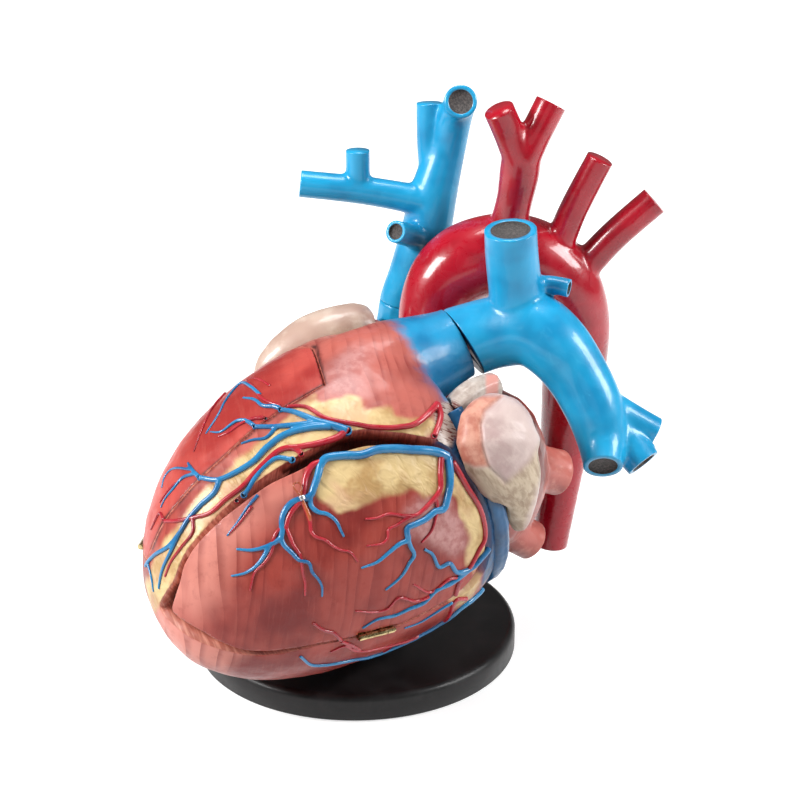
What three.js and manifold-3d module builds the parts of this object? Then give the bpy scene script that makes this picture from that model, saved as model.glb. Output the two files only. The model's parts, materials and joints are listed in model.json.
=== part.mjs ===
// Teaching model of the human heart on a round base, in millimetres, +Z up.
// Origin: centre of the underside of the base. +X is right and +Y is away, seen from the front.
import * as THREE from "three";
import { mergeVertices } from "three/addons/utils/BufferGeometryUtils.js";
import Module from "manifold-3d";

const wasm = await Module();
wasm.setup();

// Running clearance between pieces that touch
const FIT = 0.3;

// Base, post and the screws that hold them
const BASE_DIAMETER = 220;
const BASE_HEIGHT = 18;
const BASE_EDGE_RADIUS = 5;
const FLANGE_DIAMETER = 62;
const FLANGE_HEIGHT = 5;
const FLANGE_SCREWS = 4;
const FLANGE_SCREW_CIRCLE = 46;
const FLANGE_SCREW_SHANK = 4;
const FLANGE_SCREW_LENGTH = 16;
const FLANGE_SCREW_HEAD = 8;
const FLANGE_SCREW_HEAD_HEIGHT = 3;
const POST_DIAMETER = 26;
const POST_SPIGOT_DIAMETER = 16;
const POST_SPIGOT_LENGTH = 8;
const CUP_DIAMETER = 64;
const CUP_RIM_RISE = 3;

// Ventricles: an egg with its long axis running from the apex to the base of the heart
const HEART_CENTRE = new THREE.Vector3(8, -35, 134);
const LONG_AXIS = new THREE.Vector3(0.797, 0.559, 0.229).normalize();
const APEX_LENGTH = 167;
const APEX_SCALE = APEX_LENGTH / 167;
const BASE_LENGTH = 73;
const BASE_PLANE = 50;
const HEART_BREADTH = 206;
const HEART_DEPTH = 172;
const APEX_ROUNDNESS = 2.1;
const BASE_ROUNDNESS = 2.5;
const APEX_DROOP = 13;
const DROOP_POWER = 2.5;
const LEFT_WALL = 13;
const RIGHT_WALL = 9;
const BASE_WALL = 12;
const REBATE = 2;
const SEPTUM_THICKNESS = 12;
const SEPTUM_ANGLE = 32;
const LEFT_SIDE_ANGLE = SEPTUM_ANGLE - 90;
const HEART_SIDES = 36;
const HEART_RINGS = 12;
const CAVITY_SIDES = 20;
const CAVITY_RINGS = 7;

// Outflow tract and pulmonary trunk: centre points with the radius there
const TRUNK_SEAM = new THREE.Vector3(68, 14, 216);
const TRUNK_DIRECTION = new THREE.Vector3(0.88, 0.32, 0.35).normalize();
const TRUNK_LENGTH = 30;
const TRUNK_RADIUS = 25;
const CONUS_PATH = [
  [-6, -25, 196, 38], [22, -10, 204, 35], [43, 3, 208, 31], [68, 14, 216, TRUNK_RADIUS], [84, 20, 222, TRUNK_RADIUS],
];
const CONUS_WALL = 9;
const SEAM_GAP_ANGLE = 7;
const SEAM_BLOCK = 45;

// Great vessels: centre points with the radius there
const PULMONARY_PATH = [
  [66, 13, 215, 25], [92, 12, 224, 24], [116, 6, 229, 25], [131, -2, 221, 23.5],
  [146, -8, 203, 21], [158, -17, 181, 19.5], [162.5, -26, 163, 16.5], [162.5, -42, 151, 13],
];
const PULMONARY_LIMB = [[110, 8, 222, 20], [106, 9, 255, 18], [103, 6, 278, 17.5], [101.4, 3, 298, 17.3]];
const PULMONARY_SIDE = [[156, -15, 184, 15], [175, -17, 164, 13.5], [190.5, -29, 147.5, 12.2]];
const PULMONARY_BACK = [[158, -13, 186, 13], [178, -13, 174.5, 11.5], [199, -14, 164, 9.8]];
const PULMONARY_TWIG = [[108, 10, 256, 6], [126, 13, 258, 6], [141, 8, 256.5, 6.4]];
const AORTA_SEAM = new THREE.Vector3(50, 55, 202);
const AORTA_SEAM_DIRECTION = new THREE.Vector3(0, 0.2, 0.98).normalize();
const AORTIC_ROOT_PATH = [[38, 6, 150, 19], [46, 34, 170, 20], [50, 53, 190, 21], [50, 56, 206, 21]];
const AORTA_PATH = [
  [51, 56, 194, 21], [52, 65, 220, 23], [60, 69, 240, 25.5], [73, 71, 252, 27.5], [90, 73, 258, 28],
  [108, 74, 259, 28], [126, 76, 253, 27], [143, 78, 236, 25.5], [152, 80, 212, 24], [153, 82, 179, 23],
  [150, 84, 134, 19.5], [146, 87, 85, 15.5], [140, 90, 32, 13.5],
];
const BRACHIOCEPHALIC = [[100, 68, 266, 14], [107, 65, 299, 12], [109, 62, 325, 12.5], [111, 60, 336, 12.5]];
const BRACHIOCEPHALIC_LEFT = [[111, 58, 329, 12], [102, 56, 349, 10.6], [95, 52, 365, 10.4]];
const BRACHIOCEPHALIC_RIGHT = [[111, 58, 329, 12], [120, 61, 347, 10.8], [130, 66, 366, 10.8]];
const LEFT_CAROTID = [[135, 72, 254, 10.5], [146, 70, 288, 10], [164, 67, 328, 9.5]];
const LEFT_SUBCLAVIAN = [[152, 76, 243, 11], [175, 76, 270, 10.5], [203, 77, 296, 10.5]];
const CAVA_SEAM = new THREE.Vector3(31, 108, 212);
const CAVA_SEAM_DIRECTION = new THREE.Vector3(0.25, 0, 0.97).normalize();
const CAVA_PATH = [
  [26, 108, 186, 15], [31, 108, 214, 15.5], [38, 109, 232, 16.5], [48, 110, 264, 17.5], [54, 111, 294, 16.5],
  [62, 114, 322, 13.5], [67.5, 110, 345, 12], [70.5, 100, 358, 11.4], [71, 90, 361.5, 11.4],
];
const CAVA_LEFT = [[55, 112, 296, 11], [51, 116, 327, 9.5], [50, 118, 354, 9]];
const CAVA_SIDE = [[54, 106, 286, 11], [9, 104, 295, 10], [-39, 102, 301, 9.5]];
const CAVA_SIDE_STUB = [[1, 104, 296, 8.5], [1, 104, 324, 8.5]];
const CAVA_FRONT_STUB = [[50, 108, 258, 9], [27, 74, 275, 8]];
const CAVA_LOWER = [[8, 96, 150, 16], [6, 98, 118, 16], [4, 100, 92, 16]];
const VESSEL_WALL = 4;
const LUMEN_DEPTH = 6;
const LUMEN_LEAST_RADIUS = 1.5;

// Pegs that locate the three lift-off vessels
const PEG_DIAMETER = 8;
const PEG_LENGTH = 18;

// Atria and auricles
const LEFT_ATRIUM_CENTRE = new THREE.Vector3(90, 14, 125);
const LEFT_ATRIUM_RADII = new THREE.Vector3(42, 47, 58);
const UPPER_VEIN = [[104, 12, 134, 21], [122, 23, 122, 17], [139, 34, 113, 16.5]];
const LOWER_VEIN = [[88, 6, 96, 20], [104, 12, 81, 15.5], [121, 21, 67, 14]];
const RIGHT_ATRIUM_CENTRE = new THREE.Vector3(8, 84, 162);
const RIGHT_ATRIUM_RADII = new THREE.Vector3(42, 36, 46);
const RIGHT_AURICLE_PATH = [
  [-66, 30, 184, 7], [-52, 36, 196, 15], [-28, 44, 206, 20], [-4, 52, 212, 19], [10, 58, 212, 15],
];
const LEFT_AURICLE_PATH = [
  [96, -50, 202, 12], [94, -60, 194.5, 24], [92, -69, 182, 30.5], [94, -72, 168, 29], [100, -70, 155, 23.5],
  [105, -65, 139, 17], [108, -60, 124, 11], [108.5, -57, 112, 5],
];
const LEFT_AURICLE_WIDTH_DIRECTION = new THREE.Vector3(0.9, 0.43, 0).normalize();
const LEFT_AURICLE_FLATNESS = 0.6;
const COLLAR_PATH = [[56, -60, 178, 7], [62, -52, 191, 9], [76, -38, 200, 10], [92, -25, 202, 9]];

// Where the front view was taken from, for outlines that are given as picture coordinates
const VIEW_POINT = new THREE.Vector3(30, -1237, 678);
const VIEW_PITCH = 21.9;
const VIEW_FOCUS = 2000;
const PICTURE_CENTRE = 400;

// Door outlines and seams, as picture coordinates in an 800 by 800 frame
const LEFT_OPENING_OUTLINE = [
  [159, 608], [163, 596], [171, 584], [184, 554], [202, 532], [223, 510], [247, 489], [269, 473],
  [297, 456], [321, 443], [340, 434], [362, 429], [390, 431], [431, 438], [446, 445], [462, 462],
  [480, 488], [491, 518], [493, 545], [486, 570], [474, 587], [455, 599], [421, 616], [394, 629],
  [358, 638], [314, 647], [282, 654], [249, 656], [217, 649], [184, 634], [168, 621],
];
const LEFT_DOOR_OUTLINE = [
  [169, 614], [171, 600], [175, 586], [182, 565], [198, 542], [219, 520], [241, 502], [266, 484],
  [292, 471], [311, 461], [341, 450], [367, 444], [406, 446], [434, 451], [446, 463], [462, 483],
  [476, 505], [483, 525], [484, 546], [478, 566], [467, 584], [453, 596], [420, 614], [393, 627],
  [358, 636], [314, 645], [282, 651], [243, 652], [217, 644], [193, 631], [178, 622],
];
// The right door's rim, front side then far side: distance along the long axis, and angle round it from the front
const RIGHT_SEAM = [
  [-157.9, 83.42], [-151.8, 68.05], [-141.7, 58.8], [-129.9, 53.11], [-115.7, 48.62], [-94.3, 44.64],
  [-73.1, 44.42], [-52.3, 42.87], [-36.5, 42.26], [-19.1, 41.7], [-11.5, 52.09], [-0.9, 67.44],
  [-8, 90], [-22, 112], [-48, 128], [-85, 137], [-116, 138], [-134, 132], [-152, 110],
];
const RIGHT_SEAM_GAP = 1.2;
const LEFT_HINGE_ENDS = [[358, 637], [393, 628]];
const RIGHT_HINGE_ENDS = [[-151, 110], [-135, 132]];
const LEFT_DOOR_MIDDLE = [-40, -20];
const RIGHT_DOOR_MIDDLE = [-60, 86];
const LEFT_DOOR_AJAR = 3;

// The rims of the doors and openings all point at one place on the long axis
const LEFT_CONE_TIP = -30;
const RIGHT_CONE_TIP = -50;
const CONE_REACH = 1.12;
const CONE_SHARES = [0.2, 0.4, 0.6, 0.8, 1];

// Butt hinges
const HINGE_LENGTH = 25;
const KNUCKLES = 5;
const BARREL_DIAMETER = 4;
const BARREL_RISE = 1;
const PIN_DIAMETER = 1.8;
const PIN_HEAD = 3;
const PIN_HEAD_HEIGHT = 0.8;
const LEAF_THICKNESS = 1;
const LEAF_DEPTH = 7;
const LEAF_INSET = 0.9;
const POCKET_REACH = 8;
const HINGE_SCREW_PLACES = [-7.5, 7.5];
const HINGE_SCREW_SHANK = 1.8;
const HINGE_SCREW_HEAD = 3.6;
const HINGE_SCREW_HEAD_HEIGHT = 0.4;
const HINGE_SCREW_LENGTH = 5;

// Valves and papillary muscles
const MITRAL_RADIUS = 19;
const MITRAL_OFFSET = 32;
const MITRAL_SIDE = 14;
const TRICUSPID_RADIUS = 18;
const TRICUSPID_OFFSET = 34;
const LEAFLET_DEPTH = 20;
const LEAFLET_THICKNESS = 1.6;
const LEAFLET_TAPER = 0.7;
const LEAFLET_SHOULDER = 0.3;
const LEAFLET_SHOULDER_WIDTH = 0.9;
const AORTIC_VALVE_RADIUS = 11;
const AORTIC_OFFSET = 22;
const AORTIC_SIDE = 20;
const VALVE_THICKNESS = 5;
const VALVE_STEP = 5;
const PAPILLARY_ROOT = 10;
const PAPILLARY_TIP = 4.5;
const CORD_DIAMETER = 1.6;
const CUSP_PLACE = 0.48;
const CUSP_SIZE = 0.4;
// Each muscle: where it is rooted (along, angle), where it ends (along, offset) and its first cord
const FRONT_PAPILLARY = { root: [-62, -84], tip: [-22, 38], firstCord: -1.5 };
const BACK_PAPILLARY = { root: [-62, -122], tip: [-20, 24], firstCord: 1.5 };
const PAPILLARY_SUNK = 3;
const CORDS = 3;

// The vein in the groove round the base of the ventricles
const SINUS_RADIUS = 6;
const SINUS_INSET = 4;
const SINUS_START = 10;
const SINUS_END = -110;
const SINUS_STEP = 15;

// Larger than the whole model
const FAR = 900;

// Which way each lift-off vessel slides off its peg
const PULMONARY_SLIDE = new THREE.Vector3(0.93, 0, 0.37).normalize();
const AORTA_SLIDE = new THREE.Vector3(0.3, 0, 0.954).normalize();
const CAVA_SLIDE = new THREE.Vector3(0, 0, 1);

const parts = new THREE.Group();

// Small helpers

const point = (row) => new THREE.Vector3(row[0], row[1], row[2]);
const radians = THREE.MathUtils.degToRad;

function solidOf(geometry) {
  const plain = geometry.index ? geometry.toNonIndexed() : geometry.clone();
  for (const name of Object.keys(plain.attributes)) {
    if (name !== "position") {
      plain.deleteAttribute(name);
    }
  }
  const merged = mergeVertices(plain, 1e-4);
  const mesh = new wasm.Mesh({
    numProp: 3,
    vertProperties: Float32Array.from(merged.attributes.position.array),
    triVerts: Uint32Array.from(merged.index.array),
  });
  return new wasm.Manifold(mesh);
}

function geometryOf(solid) {
  const mesh = solid.getMesh();
  const geometry = new THREE.BufferGeometry();
  geometry.setAttribute("position", new THREE.BufferAttribute(Float32Array.from(mesh.vertProperties), 3));
  geometry.setIndex(new THREE.BufferAttribute(Uint32Array.from(mesh.triVerts), 1));
  return geometry;
}

function radiusCurve(rows, tension) {
  const radii = rows.map((row) => new THREE.Vector3(row[3], 0, 0));
  return new THREE.CatmullRomCurve3(radii, false, "catmullrom", tension);
}

function joinAll(solids) {
  return solids.reduce((whole, next) => whole.add(next));
}

// A closed skin through rings of equal count, closed by a point at each end
function loft(rings, startPoint, endPoint) {
  const count = rings[0].length;
  const vertices = [startPoint, ...rings.flat(), endPoint];
  const last = vertices.length - 1;
  const index = [];
  for (let k = 0; k < count; k += 1) {
    const next = (k + 1) % count;
    index.push(0, 1 + next, 1 + k);
    for (let ring = 0; ring < rings.length - 1; ring += 1) {
      const a = 1 + ring * count + k;
      const b = 1 + ring * count + next;
      index.push(a, b, b + count);
      index.push(a, b + count, a + count);
    }
    const base = 1 + (rings.length - 1) * count;
    index.push(last, base + k, base + next);
  }
  const geometry = new THREE.BufferGeometry();
  geometry.setAttribute("position", new THREE.Float32BufferAttribute(vertices.flatMap((v) => v.toArray()), 3));
  geometry.setIndex(index);
  return outward(geometry);
}

// The solid of a closed geometry, turned so that its faces point out
function outward(geometry) {
  const solid = solidOf(geometry);
  if (solid.volume() > 0) {
    return solid;
  }
  const flipped = geometry.clone();
  const index = flipped.index.array;
  for (let i = 0; i < index.length; i += 3) {
    const kept = index[i];
    index[i] = index[i + 1];
    index[i + 1] = kept;
  }
  return solidOf(flipped);
}

// A tapered round bar through rows of x, y, z and radius
function sweep(rows, sides, steps, extra = 0) {
  const curve = new THREE.CatmullRomCurve3(rows.map(point), false, "centripetal");
  const radii = radiusCurve(rows, 0.3);
  const frames = curve.computeFrenetFrames(steps, false);
  const rings = [];
  for (let i = 0; i <= steps; i += 1) {
    const fraction = i / steps;
    const centre = curve.getPointAt(fraction);
    const parameter = curve.getUtoTmapping(fraction);
    const radius = radii.getPoint(parameter).x + extra;
    const ring = [];
    for (let k = 0; k < sides; k += 1) {
      const angle = (2 * Math.PI * k) / sides;
      const across = frames.normals[i].clone().multiplyScalar(radius * Math.cos(angle));
      const over = frames.binormals[i].clone().multiplyScalar(radius * Math.sin(angle));
      ring.push(centre.clone().add(across).add(over));
    }
    rings.push(ring);
  }
  return loft(rings, curve.getPointAt(0), curve.getPointAt(1));
}

// A straight round bar between two points
function bar(from, to, radius, sides) {
  const length = from.distanceTo(to);
  const geometry = new THREE.CylinderGeometry(radius, radius, length, sides);
  const direction = to.clone().sub(from).normalize();
  geometry.applyQuaternion(new THREE.Quaternion().setFromUnitVectors(new THREE.Vector3(0, 1, 0), direction));
  const middle = from.clone().add(to).multiplyScalar(0.5);
  geometry.translate(middle.x, middle.y, middle.z);
  return solidOf(geometry);
}

// The recess at the open end of a vessel, which ends at the last row of its path
function lumen(rows, sides) {
  const end = point(rows[rows.length - 1]);
  const before = point(rows[rows.length - 2]);
  const direction = end.clone().sub(before).normalize();
  const radius = rows[rows.length - 1][3] - VESSEL_WALL;
  const start = end.clone().addScaledVector(direction, -LUMEN_DEPTH);
  const beyond = end.clone().addScaledVector(direction, LUMEN_DEPTH);
  return bar(start, beyond, Math.max(radius, LUMEN_LEAST_RADIUS), sides);
}

// Everything on the side of a plane that its normal points to
function halfSpace(through, normal) {
  const geometry = new THREE.BoxGeometry(FAR, FAR, FAR);
  geometry.translate(0, 0, FAR / 2);
  geometry.applyQuaternion(new THREE.Quaternion().setFromUnitVectors(new THREE.Vector3(0, 0, 1), normal));
  geometry.translate(through.x, through.y, through.z);
  return solidOf(geometry);
}

function blob(centre, radii, sides) {
  const geometry = new THREE.SphereGeometry(1, sides, Math.round(sides * 0.6));
  geometry.scale(radii.x, radii.y, radii.z);
  geometry.translate(centre.x, centre.y, centre.z);
  return solidOf(geometry);
}

function cylinderZ(diameter, bottom, top, sides, x = 0, y = 0) {
  return bar(new THREE.Vector3(x, y, bottom), new THREE.Vector3(x, y, top), diameter / 2, sides);
}

function material(colour, roughness, metalness = 0) {
  return new THREE.MeshStandardMaterial({ color: colour, roughness, metalness });
}

const MUSCLE = () => material(0xb8564a, 0.32);
const BLUE = () => material(0x28a5dc, 0.22);
const RED = () => material(0xc8142d, 0.22);
const CREAM = () => material(0xd8c2b4, 0.4);
const SALMON = () => material(0xd08074, 0.35);
const GREY = () => material(0x9a938c, 0.5);
const BLACK = () => material(0x1e1c1e, 0.45);
const BRASS = () => material(0xc9a24a, 0.3, 1);
const STEEL = () => material(0xb8b8ba, 0.3, 1);

function addPart(name, solid, paint, holder = parts, origin = new THREE.Vector3()) {
  const geometry = geometryOf(solid);
  geometry.translate(-origin.x, -origin.y, -origin.z);
  const mesh = new THREE.Mesh(geometry, paint());
  mesh.name = name;
  holder.add(mesh);
  return mesh;
}

// The egg of the ventricles

const SIGHT = HEART_CENTRE.clone().sub(VIEW_POINT).normalize();
const FRONT_DIRECTION = SIGHT.clone().negate().addScaledVector(LONG_AXIS, SIGHT.dot(LONG_AXIS)).normalize();
const UP_DIRECTION = new THREE.Vector3().crossVectors(FRONT_DIRECTION, LONG_AXIS).normalize();

function crossSection(along, inset) {
  const reach = (along < 0 ? APEX_LENGTH : BASE_LENGTH) - inset;
  const power = along < 0 ? APEX_ROUNDNESS : BASE_ROUNDNESS;
  return Math.max(0, 1 - Math.abs(along / reach) ** power) ** (1 / power);
}

function axisPoint(along) {
  const droop = along < 0 ? APEX_DROOP * (-along / APEX_LENGTH) ** DROOP_POWER : 0;
  return HEART_CENTRE.clone().addScaledVector(LONG_AXIS, along).addScaledVector(UP_DIRECTION, -droop);
}

// A point on the ventricles from its distance along the axis and its angle from the front, upwards
function heartPoint(along, degrees, inset = 0) {
  const size = crossSection(along, inset);
  const angle = radians(degrees);
  const up = size * (HEART_BREADTH / 2 - inset) * Math.sin(angle);
  const front = size * (HEART_DEPTH / 2 - inset) * Math.cos(angle);
  return axisPoint(along).addScaledVector(UP_DIRECTION, up).addScaledVector(FRONT_DIRECTION, front);
}

// Less than 1 inside the ventricles, more than 1 outside
function heartField(place) {
  const offset = place.clone().sub(HEART_CENTRE);
  const along = offset.dot(LONG_AXIS);
  const fromAxis = place.clone().sub(axisPoint(along));
  const up = fromAxis.dot(UP_DIRECTION) / (HEART_BREADTH / 2);
  const front = fromAxis.dot(FRONT_DIRECTION) / (HEART_DEPTH / 2);
  const reach = along < 0 ? APEX_LENGTH : BASE_LENGTH;
  const power = along < 0 ? APEX_ROUNDNESS : BASE_ROUNDNESS;
  return Math.abs(along / reach) ** power + Math.hypot(up, front) ** power;
}

function heartNormal(place) {
  const step = 0.5;
  const slope = [[step, 0, 0], [0, step, 0], [0, 0, step]].map((row) => (
    heartField(place.clone().add(point(row))) - heartField(place.clone().sub(point(row)))
  ));
  return point(slope).normalize();
}

// Distance from a point inside the ventricles to their surface
function distanceToSurface(from, direction) {
  let near = 0;
  let far = APEX_LENGTH * 2;
  for (let i = 0; i < 40; i += 1) {
    const middle = (near + far) / 2;
    const outside = heartField(from.clone().addScaledVector(direction, middle)) > 1;
    near = outside ? near : middle;
    far = outside ? middle : far;
  }
  return near;
}

// The point of the ventricles that is seen at a picture coordinate
function onHeart([across, down]) {
  const pitch = radians(VIEW_PITCH);
  const forward = new THREE.Vector3(0, Math.cos(pitch), -Math.sin(pitch));
  const upward = new THREE.Vector3(0, Math.sin(pitch), Math.cos(pitch));
  const ray = forward.clone();
  ray.x += (across - PICTURE_CENTRE) / VIEW_FOCUS;
  ray.addScaledVector(upward, (PICTURE_CENTRE - down) / VIEW_FOCUS).normalize();
  const start = VIEW_POINT.distanceTo(HEART_CENTRE) - APEX_LENGTH;
  const end = VIEW_POINT.distanceTo(HEART_CENTRE) + APEX_LENGTH;
  const stepLength = (end - start) / 600;
  let best = null;
  let bestField = Infinity;
  for (let reach = start; reach < end; reach += stepLength) {
    const place = VIEW_POINT.clone().addScaledVector(ray, reach);
    const field = heartField(place);
    if (field < 1) {
      return place.addScaledVector(ray, -stepLength / 2);
    }
    if (field < bestField) {
      bestField = field;
      best = place;
    }
  }
  return best;
}

function heartSolid(inset, basePlane = BASE_PLANE, sides = HEART_SIDES, ringCount = HEART_RINGS) {
  const rings = [];
  for (let i = 1; i <= ringCount; i += 1) {
    const turn = (i / ringCount) * (Math.PI / 2);
    const along = -(APEX_LENGTH - inset) * Math.cos(turn);
    rings.push(heartRing(along, inset, sides));
  }
  for (const share of [0.5, 0.8, 1]) {
    rings.push(heartRing(basePlane * share, inset, sides));
  }
  return loft(rings, axisPoint(-(APEX_LENGTH - inset)), axisPoint(basePlane));
}

function heartRing(along, inset, sides) {
  const ring = [];
  for (let k = 0; k < sides; k += 1) {
    ring.push(heartPoint(along, (360 * k) / sides, inset));
  }
  return ring;
}

// A cone from a point inside the heart through an outline on its surface and a little beyond
function coneThrough(apex, outline) {
  const middle = middleOf(outline).sub(apex).normalize();
  const atReach = (direction) => (
    apex.clone().addScaledVector(direction, distanceToSurface(apex, direction) * CONE_REACH)
  );
  const rings = CONE_SHARES.map((share) => outline.map((place) => {
    const rim = place.clone().sub(apex).normalize();
    const turn = new THREE.Quaternion().setFromUnitVectors(middle, rim);
    return atReach(middle.clone().applyQuaternion(new THREE.Quaternion().slerp(turn, share)));
  }));
  return loft(rings, atReach(middle), apex);
}

function middleOf(outline) {
  return outline.reduce((sum, place) => sum.add(place), new THREE.Vector3()).divideScalar(outline.length);
}

// Base and post

function baseDisc() {
  const radius = BASE_DIAMETER / 2;
  const profile = new THREE.Path();
  profile.moveTo(0, 0);
  profile.lineTo(radius - 1, 0);
  profile.lineTo(radius, 1);
  profile.lineTo(radius, BASE_HEIGHT - BASE_EDGE_RADIUS);
  profile.absarc(radius - BASE_EDGE_RADIUS, BASE_HEIGHT - BASE_EDGE_RADIUS, BASE_EDGE_RADIUS, 0, Math.PI / 2);
  profile.lineTo(0, BASE_HEIGHT);
  const geometry = new THREE.LatheGeometry(profile.getPoints(2), 48);
  geometry.rotateX(Math.PI / 2);
  return outward(indexed(geometry));
}

function indexed(geometry) {
  const plain = geometry.index ? geometry.toNonIndexed() : geometry.clone();
  plain.deleteAttribute("normal");
  plain.deleteAttribute("uv");
  return mergeVertices(plain, 1e-4);
}

function aroundFlange(make) {
  return Array.from({ length: FLANGE_SCREWS }, (_, i) => {
    const angle = (2 * Math.PI * (i + 0.5)) / FLANGE_SCREWS;
    return make((FLANGE_SCREW_CIRCLE / 2) * Math.cos(angle), (FLANGE_SCREW_CIRCLE / 2) * Math.sin(angle));
  });
}

const flangeBottom = BASE_HEIGHT + FIT;
const flangeTop = flangeBottom + FLANGE_HEIGHT;
const screwTip = flangeTop + FIT - FLANGE_SCREW_LENGTH;
const screwHoles = joinAll(aroundFlange((x, y) => (
  cylinderZ(FLANGE_SCREW_SHANK + 2 * FIT, screwTip - FIT, flangeTop + 1, 10, x, y)
)));

function flangeScrew(x, y) {
  const head = cylinderZ(FLANGE_SCREW_HEAD, flangeTop + FIT, flangeTop + FIT + FLANGE_SCREW_HEAD_HEIGHT, 10, x, y);
  const shank = cylinderZ(FLANGE_SCREW_SHANK, screwTip, flangeTop + FIT + 1, 8, x, y);
  return head.add(shank);
}

// The lowest point of the ventricles above a place on the base
function undersideAbove(x, y) {
  let height = BASE_HEIGHT;
  while (heartField(new THREE.Vector3(x, y, height)) > 1 && height < HEART_CENTRE.z) {
    height += 0.25;
  }
  return height;
}

const underside = undersideAbove(0, 0);
const cupFloor = Math.min(underside - CUP_RIM_RISE, undersideAbove(0, -CUP_DIAMETER / 2) - CUP_RIM_RISE);

// Ventricles with their hollows and openings

const heartOutside = heartSolid(0);
const heartClear = heartSolid(-FIT, BASE_PLANE + FIT);
const basePoint = axisPoint(BASE_PLANE + FIT);
const behindBase = halfSpace(basePoint, LONG_AXIS);
const leftSide = UP_DIRECTION.clone().multiplyScalar(Math.sin(radians(LEFT_SIDE_ANGLE)))
  .addScaledVector(FRONT_DIRECTION, Math.cos(radians(LEFT_SIDE_ANGLE)));
const rightSide = leftSide.clone().negate();
const alongSeptum = new THREE.Vector3().crossVectors(leftSide, LONG_AXIS);

// The hollow on one side of the septum
function cavity(wall, side, clearance) {
  const inside = heartSolid(wall + clearance, BASE_PLANE - BASE_WALL - clearance, CAVITY_SIDES, CAVITY_RINGS);
  const through = HEART_CENTRE.clone().addScaledVector(side, SEPTUM_THICKNESS / 2 + clearance);
  return inside.intersect(halfSpace(through, side));
}

const leftCavity = cavity(LEFT_WALL, leftSide, 0);
const rightCavity = cavity(RIGHT_WALL, rightSide, 0);

const conus = sweep(CONUS_PATH, 24, 8);
const conusClear = sweep(CONUS_PATH, 24, 8, FIT);
const conusHollow = sweep(CONUS_PATH, 14, 6, -CONUS_WALL);
const trunkStart = TRUNK_SEAM.clone().addScaledVector(TRUNK_DIRECTION, -TRUNK_LENGTH);
const againstTrunk = TRUNK_DIRECTION.clone().negate();

// Doors

const leftOpening = coneThrough(axisPoint(LEFT_CONE_TIP), LEFT_OPENING_OUTLINE.map(onHeart));
const leftDoorCone = coneThrough(axisPoint(LEFT_CONE_TIP), LEFT_DOOR_OUTLINE.map(onHeart));
const rightOutline = RIGHT_SEAM.map(([along, angle]) => heartPoint(along * APEX_SCALE, angle));

// The same outline moved towards its middle by a gap
function drawnIn(outline, gap) {
  const middle = middleOf(outline);
  return outline.map((place) => place.clone().addScaledVector(middle.clone().sub(place).normalize(), gap));
}

const rightOpening = coneThrough(axisPoint(RIGHT_CONE_TIP), rightOutline);
const rightDoorCone = coneThrough(axisPoint(RIGHT_CONE_TIP), drawnIn(rightOutline, RIGHT_SEAM_GAP));

// Heart body: the shell of the ventricles with the septum, the base wall and the outflow tract

// The inside of a wall, down to a depth
function wallInside(depth) {
  return heartSolid(depth, BASE_PLANE - BASE_WALL, CAVITY_SIDES, CAVITY_RINGS);
}

function heartBody() {
  const tract = conus.intersect(halfSpace(trunkStart, againstTrunk));
  const valveStep = halfSpace(trunkStart.clone().addScaledVector(TRUNK_DIRECTION, -VALVE_STEP), againstTrunk);
  return heartOutside
    .add(tract)
    .subtract(leftCavity)
    .subtract(rightCavity)
    .subtract(conusHollow.intersect(valveStep))
    .subtract(leftOpening.subtract(wallInside(LEFT_WALL + REBATE)))
    .subtract(rightOpening.subtract(wallInside(RIGHT_WALL + REBATE)))
    .subtract(cylinderZ(POST_SPIGOT_DIAMETER + 2 * FIT, 0, underside + POST_SPIGOT_LENGTH + FIT, 24));
}

// Hinges. In each hinge's own frame x runs along the pin, y towards the door and z outwards.

function hingeFrame([oneEnd, otherEnd], doorMiddle) {
  const place = oneEnd.clone().add(otherEnd).multiplyScalar(0.5);
  const outwards = heartNormal(place);
  const along = otherEnd.clone().sub(oneEnd).normalize();
  outwards.addScaledVector(along, -outwards.dot(along)).normalize();
  const towardsDoor = new THREE.Vector3().crossVectors(outwards, along);
  if (towardsDoor.dot(doorMiddle.clone().sub(place)) < 0) {
    towardsDoor.negate();
  }
  const axis = new THREE.Vector3().crossVectors(towardsDoor, outwards);
  const origin = place.clone().addScaledVector(outwards, BARREL_RISE);
  return { origin, axis, matrix: new THREE.Matrix4().makeBasis(axis, towardsDoor, outwards).setPosition(origin) };
}

function hingeBox(frame, low, high) {
  const size = [0, 1, 2].map((i) => high[i] - low[i]);
  const geometry = new THREE.BoxGeometry(...size);
  geometry.translate(...[0, 1, 2].map((i) => (high[i] + low[i]) / 2));
  geometry.applyMatrix4(frame.matrix);
  return solidOf(geometry);
}

function hingeBar(frame, from, to, radius, sides) {
  return bar(point(from).applyMatrix4(frame.matrix), point(to).applyMatrix4(frame.matrix), radius, sides);
}

const half = HINGE_LENGTH / 2;
const leafTop = -(BARREL_DIAMETER / 2 + FIT);
const leafBottom = leafTop - LEAF_DEPTH;
const leafOuter = LEAF_INSET + LEAF_THICKNESS;
const knucklePitch = (HINGE_LENGTH + FIT) / KNUCKLES;

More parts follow.
